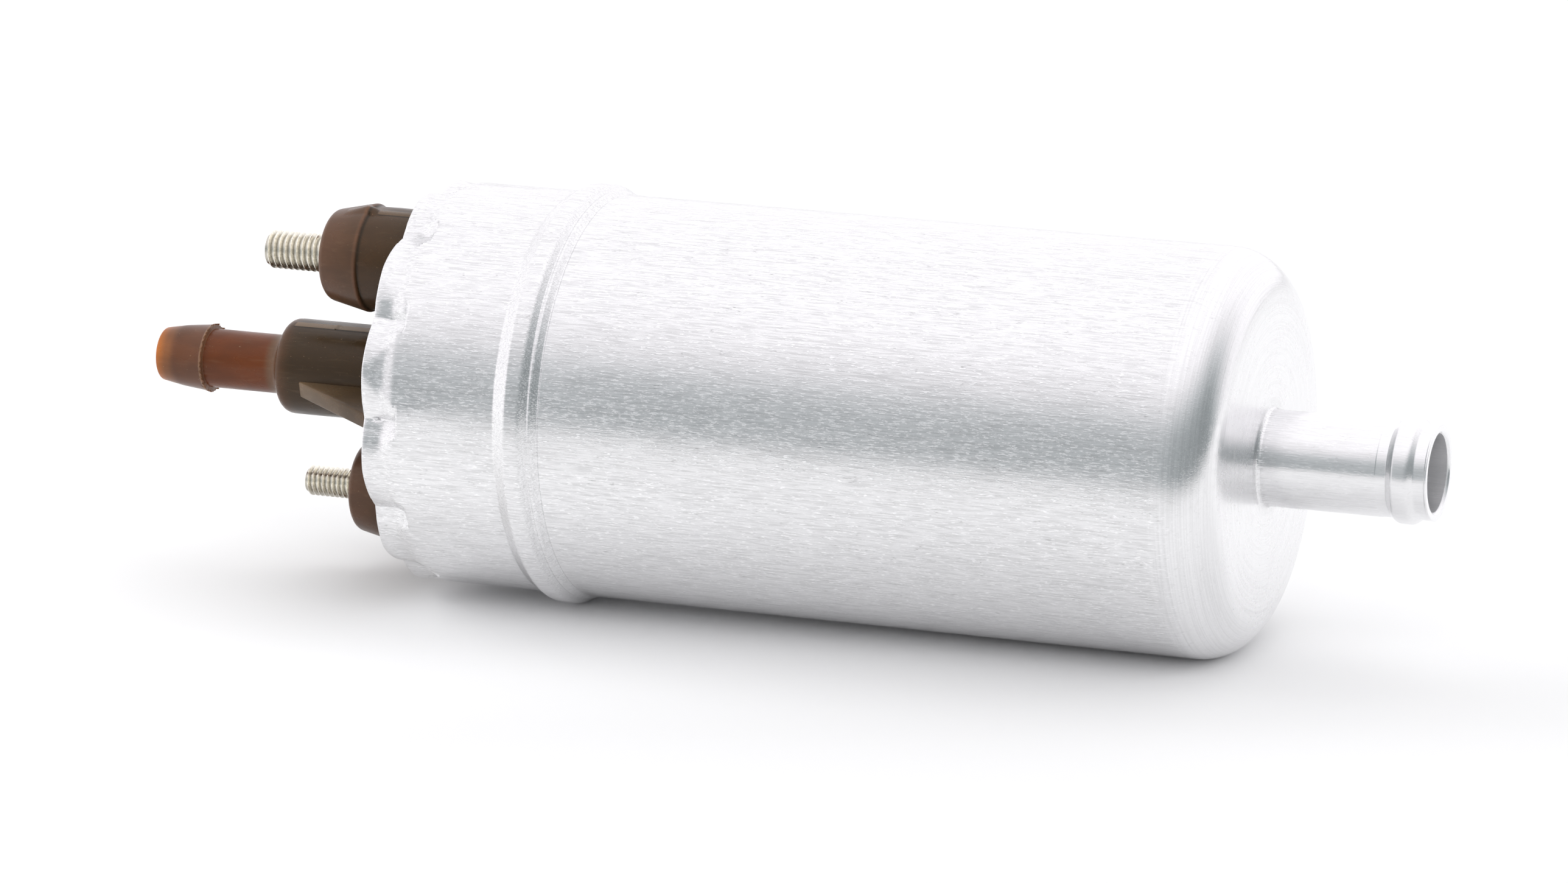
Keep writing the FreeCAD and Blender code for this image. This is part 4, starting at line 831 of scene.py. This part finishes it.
# Tint, grain in millimetres along X, Y and Z, metallic and roughness of each inner finish.
INNER_FINISHES = {
    "seal_rubber": ((0.018, 0.018, 0.019), (0.4, 0.4, 0.4), 0.0, 0.55),
    "brass": ((0.78, 0.56, 0.25), (2.5, 0.15, 0.15), 1.0, 0.28),
    "carbon": ((0.035, 0.034, 0.036), (0.25, 0.25, 0.25), 0.0, 0.6),
    "copper": ((0.75, 0.33, 0.17), (3, 0.32, 0.32), 1.0, 0.3),
    "laminations": ((0.38, 0.37, 0.36), (0.25, 6, 6), 1.0, 0.42),
    "sintered_bronze": ((0.42, 0.27, 0.13), (0.22, 0.22, 0.22), 1.0, 0.5),
    "ferrite": ((0.05, 0.05, 0.055), (0.35, 0.35, 0.35), 0.0, 0.5),
    "bright_steel": ((0.62, 0.62, 0.63), (0.12, 2, 2), 1.0, 0.22),
    "sintered_steel": ((0.33, 0.33, 0.345), (0.2, 0.2, 0.2), 1.0, 0.45),
    "insulation": ((0.55, 0.4, 0.2), (0.5, 0.5, 0.5), 0.0, 0.5),
    "nylon": ((0.72, 0.7, 0.62), (0.45, 0.45, 0.45), 0.0, 0.4),
}


def finish_inside(pump):
    """Gives every inner piece the finish of its own metal, rubber, carbon or moulding."""
    finishes = {}
    for entry in frame["record"]["materials"]:
        slot = entry["slot"]
        if slot in INNER_FINISHES:
            tint, grain, metallic, rough = INNER_FINISHES[slot]
            finishes[slot] = worked_finish(slot, tint, grain, metallic, rough)
    for node in frame["nodes"].values():
        for material_slot in node.material_slots:
            slot = material_slot.material.name.split(".")[0]
            if slot in finishes:
                material_slot.material = finishes[slot]


# Stage


def make_floor(pump):
    """Pale table top under the bead and the can's far end, with painted shade darkening it towards the
    viewer.
    """
    can = pump.can
    low, high = can.bead_station + RIM_X, can.shoulder_start + RIM_X
    slope = (can.bead_radius - can.radius) / (high - low)
    bm = bmesh.new()
    bmesh.ops.create_grid(bm, x_segments=8, y_segments=8, size=1.5)
    bmesh.ops.translate(bm, verts=bm.verts, vec=(0, 1.5 - FLOOR_EDGE, 0))
    bmesh.ops.rotate(bm, verts=bm.verts, cent=(0, 0, 0), matrix=Matrix.Rotation(VIEW_AZIMUTH, 3, "Z"))
    for vert in bm.verts:
        vert.co.z = -can.bead_radius + slope * (vert.co.x - low)
    look = Finish("table")
    cloud = look.grain((160, 160, 160), detail=2)
    x, y, _ = look.split()
    ahead = look.math("SUBTRACT", look.math("MULTIPLY", x, math.sin(VIEW_AZIMUTH)),
                      look.math("MULTIPLY", y, math.cos(VIEW_AZIMUTH)))
    plain = tuple(pump.colours.floor)
    # Painted shade: the floor darkens in two steps as it comes towards the viewer.
    near, nearest = shades(plain, 0.89, 0.66)
    pale = look.blend(look.span(cloud, 0.3, 0.7), plain, mix(plain, (1, 1, 1), 0.12))
    pale = look.blend(look.span(ahead, 0.01, 0.05), pale, near)
    look.colour(look.blend(look.span(ahead, 0.08, FLOOR_EDGE), pale, nearest))
    look.set(Roughness=0.75, Specular_IOR_Level=0.15)
    mesh = bpy.data.meshes.new("floor")
    bm.to_mesh(mesh)
    bm.free()
    mesh.materials.append(look.material)
    floor = bpy.data.objects.new("floor", mesh)
    bpy.context.scene.collection.objects.link(floor)


def make_light():
    """Soft white studio light; mirrors of it fall off towards the table and towards the viewer."""
    world = bpy.data.worlds.new("studio")
    bpy.context.scene.world = world
    world.use_nodes = True
    world.node_tree.nodes.clear()
    studio = Nodes(world.node_tree)
    direction = studio.node("ShaderNodeTexCoord").outputs["Generated"]
    x, y, z = studio.node("ShaderNodeSeparateXYZ", {0: direction}).outputs
    sky = studio.ramp(studio.span(z, -1.0, 1.0, smooth=False),
                      [((height + 1) / 2, (level, level, level * 1.01)) for height, level in SKY])
    # The walls beside and behind the pump are brighter, and the light falls off to the right.
    rightward = studio.span(x, -0.3, 1.0, 1.0, 0.6, smooth=False)
    front = studio.node("ShaderNodeMix", {"Factor": studio.span(z, 0.4, 0.95), "A": rightward, "B": 1.0})
    level = studio.math("MULTIPLY", sky, front.outputs[0])
    beside = studio.span(x, -0.42, -0.88, 0.0, 0.9)
    behind = studio.span(y, -0.05, 0.8, 0.0, 0.9)
    lift = studio.math("MAXIMUM", beside, behind)
    lifted = studio.node("ShaderNodeMix", {"Factor": lift, "A": level, "B": MIRRORED_WALL}).outputs[0]
    cool = studio.span(lifted, 0.3, 0.95, 0.9, 1.0, smooth=False)
    tint = studio.node("ShaderNodeCombineColor", {0: cool, 1: 0.985, 2: 1.01}).outputs[0]
    paths = studio.node("ShaderNodeLightPath").outputs
    mirrored, plain, white = (
        studio.node("ShaderNodeBackground", {"Color": shade, "Strength": strength}).outputs[0]
        for shade, strength in ((tint, lifted), ((0.995, 0.995, 1, 1), PLAIN_LIGHT), ((1, 1, 1, 1), 1.0)))
    unseen = studio.node("ShaderNodeMixShader", {0: paths["Is Glossy Ray"], 1: plain, 2: mirrored})
    seen = studio.node("ShaderNodeMixShader", {0: paths["Is Camera Ray"], 1: unseen.outputs[0], 2: white})
    studio.node("ShaderNodeOutputWorld", {"Surface": seen.outputs[0]})
    for name, (place_at, size, power) in SOFTBOXES.items():
        data = bpy.data.lights.new(name, "AREA")
        data.shape, data.size, data.size_y, data.energy = "RECTANGLE", *size, power
        softbox = bpy.data.objects.new(name, data)
        softbox.location = place_at
        softbox.rotation_euler = place_at.to_track_quat("Z", "Y").to_euler()
        softbox.visible_glossy = False
        bpy.context.scene.collection.objects.link(softbox)
    bpy.context.scene.view_settings.view_transform = "Standard"


def make_camera():
    """Long lens, a little above the pump and to its suction side."""
    data = bpy.data.cameras.new("viewer")
    data.sensor_fit, data.sensor_width = "HORIZONTAL", 36
    data.lens = LENS
    data.clip_start, data.clip_end = 0.05, 20
    back = Vector((math.sin(VIEW_AZIMUTH) * math.cos(VIEW_HEIGHT),
                   -math.cos(VIEW_AZIMUTH) * math.cos(VIEW_HEIGHT), math.sin(VIEW_HEIGHT)))
    right = Vector((math.cos(VIEW_AZIMUTH), math.sin(VIEW_AZIMUTH), 0))
    camera = bpy.data.objects.new("viewer", data)
    camera.matrix_world = Matrix.Translation(VIEWER) @ Matrix(
        (right, back.cross(right), back)).transposed().to_4x4()
    bpy.context.scene.collection.objects.link(camera)
    bpy.context.scene.camera = camera


# Add-on


class FUELPUMP_OT_can(bpy.types.Operator):
    """Build the drawn can"""
    bl_idname = "fuel_pump.can"
    bl_label = "Can"

    def execute(self, context):
        make_can(context.scene.fuel_pump)
        return {"FINISHED"}


class FUELPUMP_OT_cover(bpy.types.Operator):
    """Build the moulded cover with its nipple, bosses and webs"""
    bl_idname = "fuel_pump.cover"
    bl_label = "Cover"

    def execute(self, context):
        pump = context.scene.fuel_pump
        make_cover(pump)
        make_bosses(pump)
        make_webs(pump)
        return {"FINISHED"}


class FUELPUMP_OT_studs(bpy.types.Operator):
    """Build the two threaded terminals"""
    bl_idname = "fuel_pump.studs"
    bl_label = "Studs"

    def execute(self, context):
        make_studs(context.scene.fuel_pump)
        return {"FINISHED"}


class FUELPUMP_OT_inside(bpy.types.Operator):
    """Finish the inner pieces"""
    bl_idname = "fuel_pump.inside"
    bl_label = "Inner pieces"

    def execute(self, context):
        make_springs(context.scene.fuel_pump)
        finish_inside(context.scene.fuel_pump)
        return {"FINISHED"}


class FUELPUMP_OT_stage(bpy.types.Operator):
    """Build the table, the light and the camera"""
    bl_idname = "fuel_pump.stage"
    bl_label = "Stage"

    def execute(self, context):
        make_floor(context.scene.fuel_pump)
        make_light()
        make_camera()
        return {"FINISHED"}


class FUELPUMP_PT_panel(bpy.types.Panel):
    """Fuel pump tools in the sidebar"""
    bl_idname = "FUELPUMP_PT_panel"
    bl_label = "Fuel pump"
    bl_space_type = "VIEW_3D"
    bl_region_type = "UI"
    bl_category = "Fuel pump"

    def draw(self, context):
        for operator in OPERATORS:
            self.layout.operator(operator.bl_idname)


OPERATORS = (FUELPUMP_OT_can, FUELPUMP_OT_cover, FUELPUMP_OT_studs, FUELPUMP_OT_inside, FUELPUMP_OT_stage)
CLASSES = (CanSizes, CoverSizes, StudSizes, SpringSizes, PumpColours, FuelPump, *OPERATORS,
           FUELPUMP_PT_panel)


def register():
    for item in CLASSES:
        bpy.utils.register_class(item)
    bpy.types.Scene.fuel_pump = PointerProperty(type=FuelPump)


def unregister():
    del bpy.types.Scene.fuel_pump
    for item in reversed(CLASSES):
        bpy.utils.unregister_class(item)


def main():
    register()
    bpy.ops.fuel_pump.can()
    bpy.ops.fuel_pump.cover()
    bpy.ops.fuel_pump.studs()
    bpy.ops.fuel_pump.inside()
    bpy.ops.fuel_pump.stage()


if __name__ == "__main__":
    main()
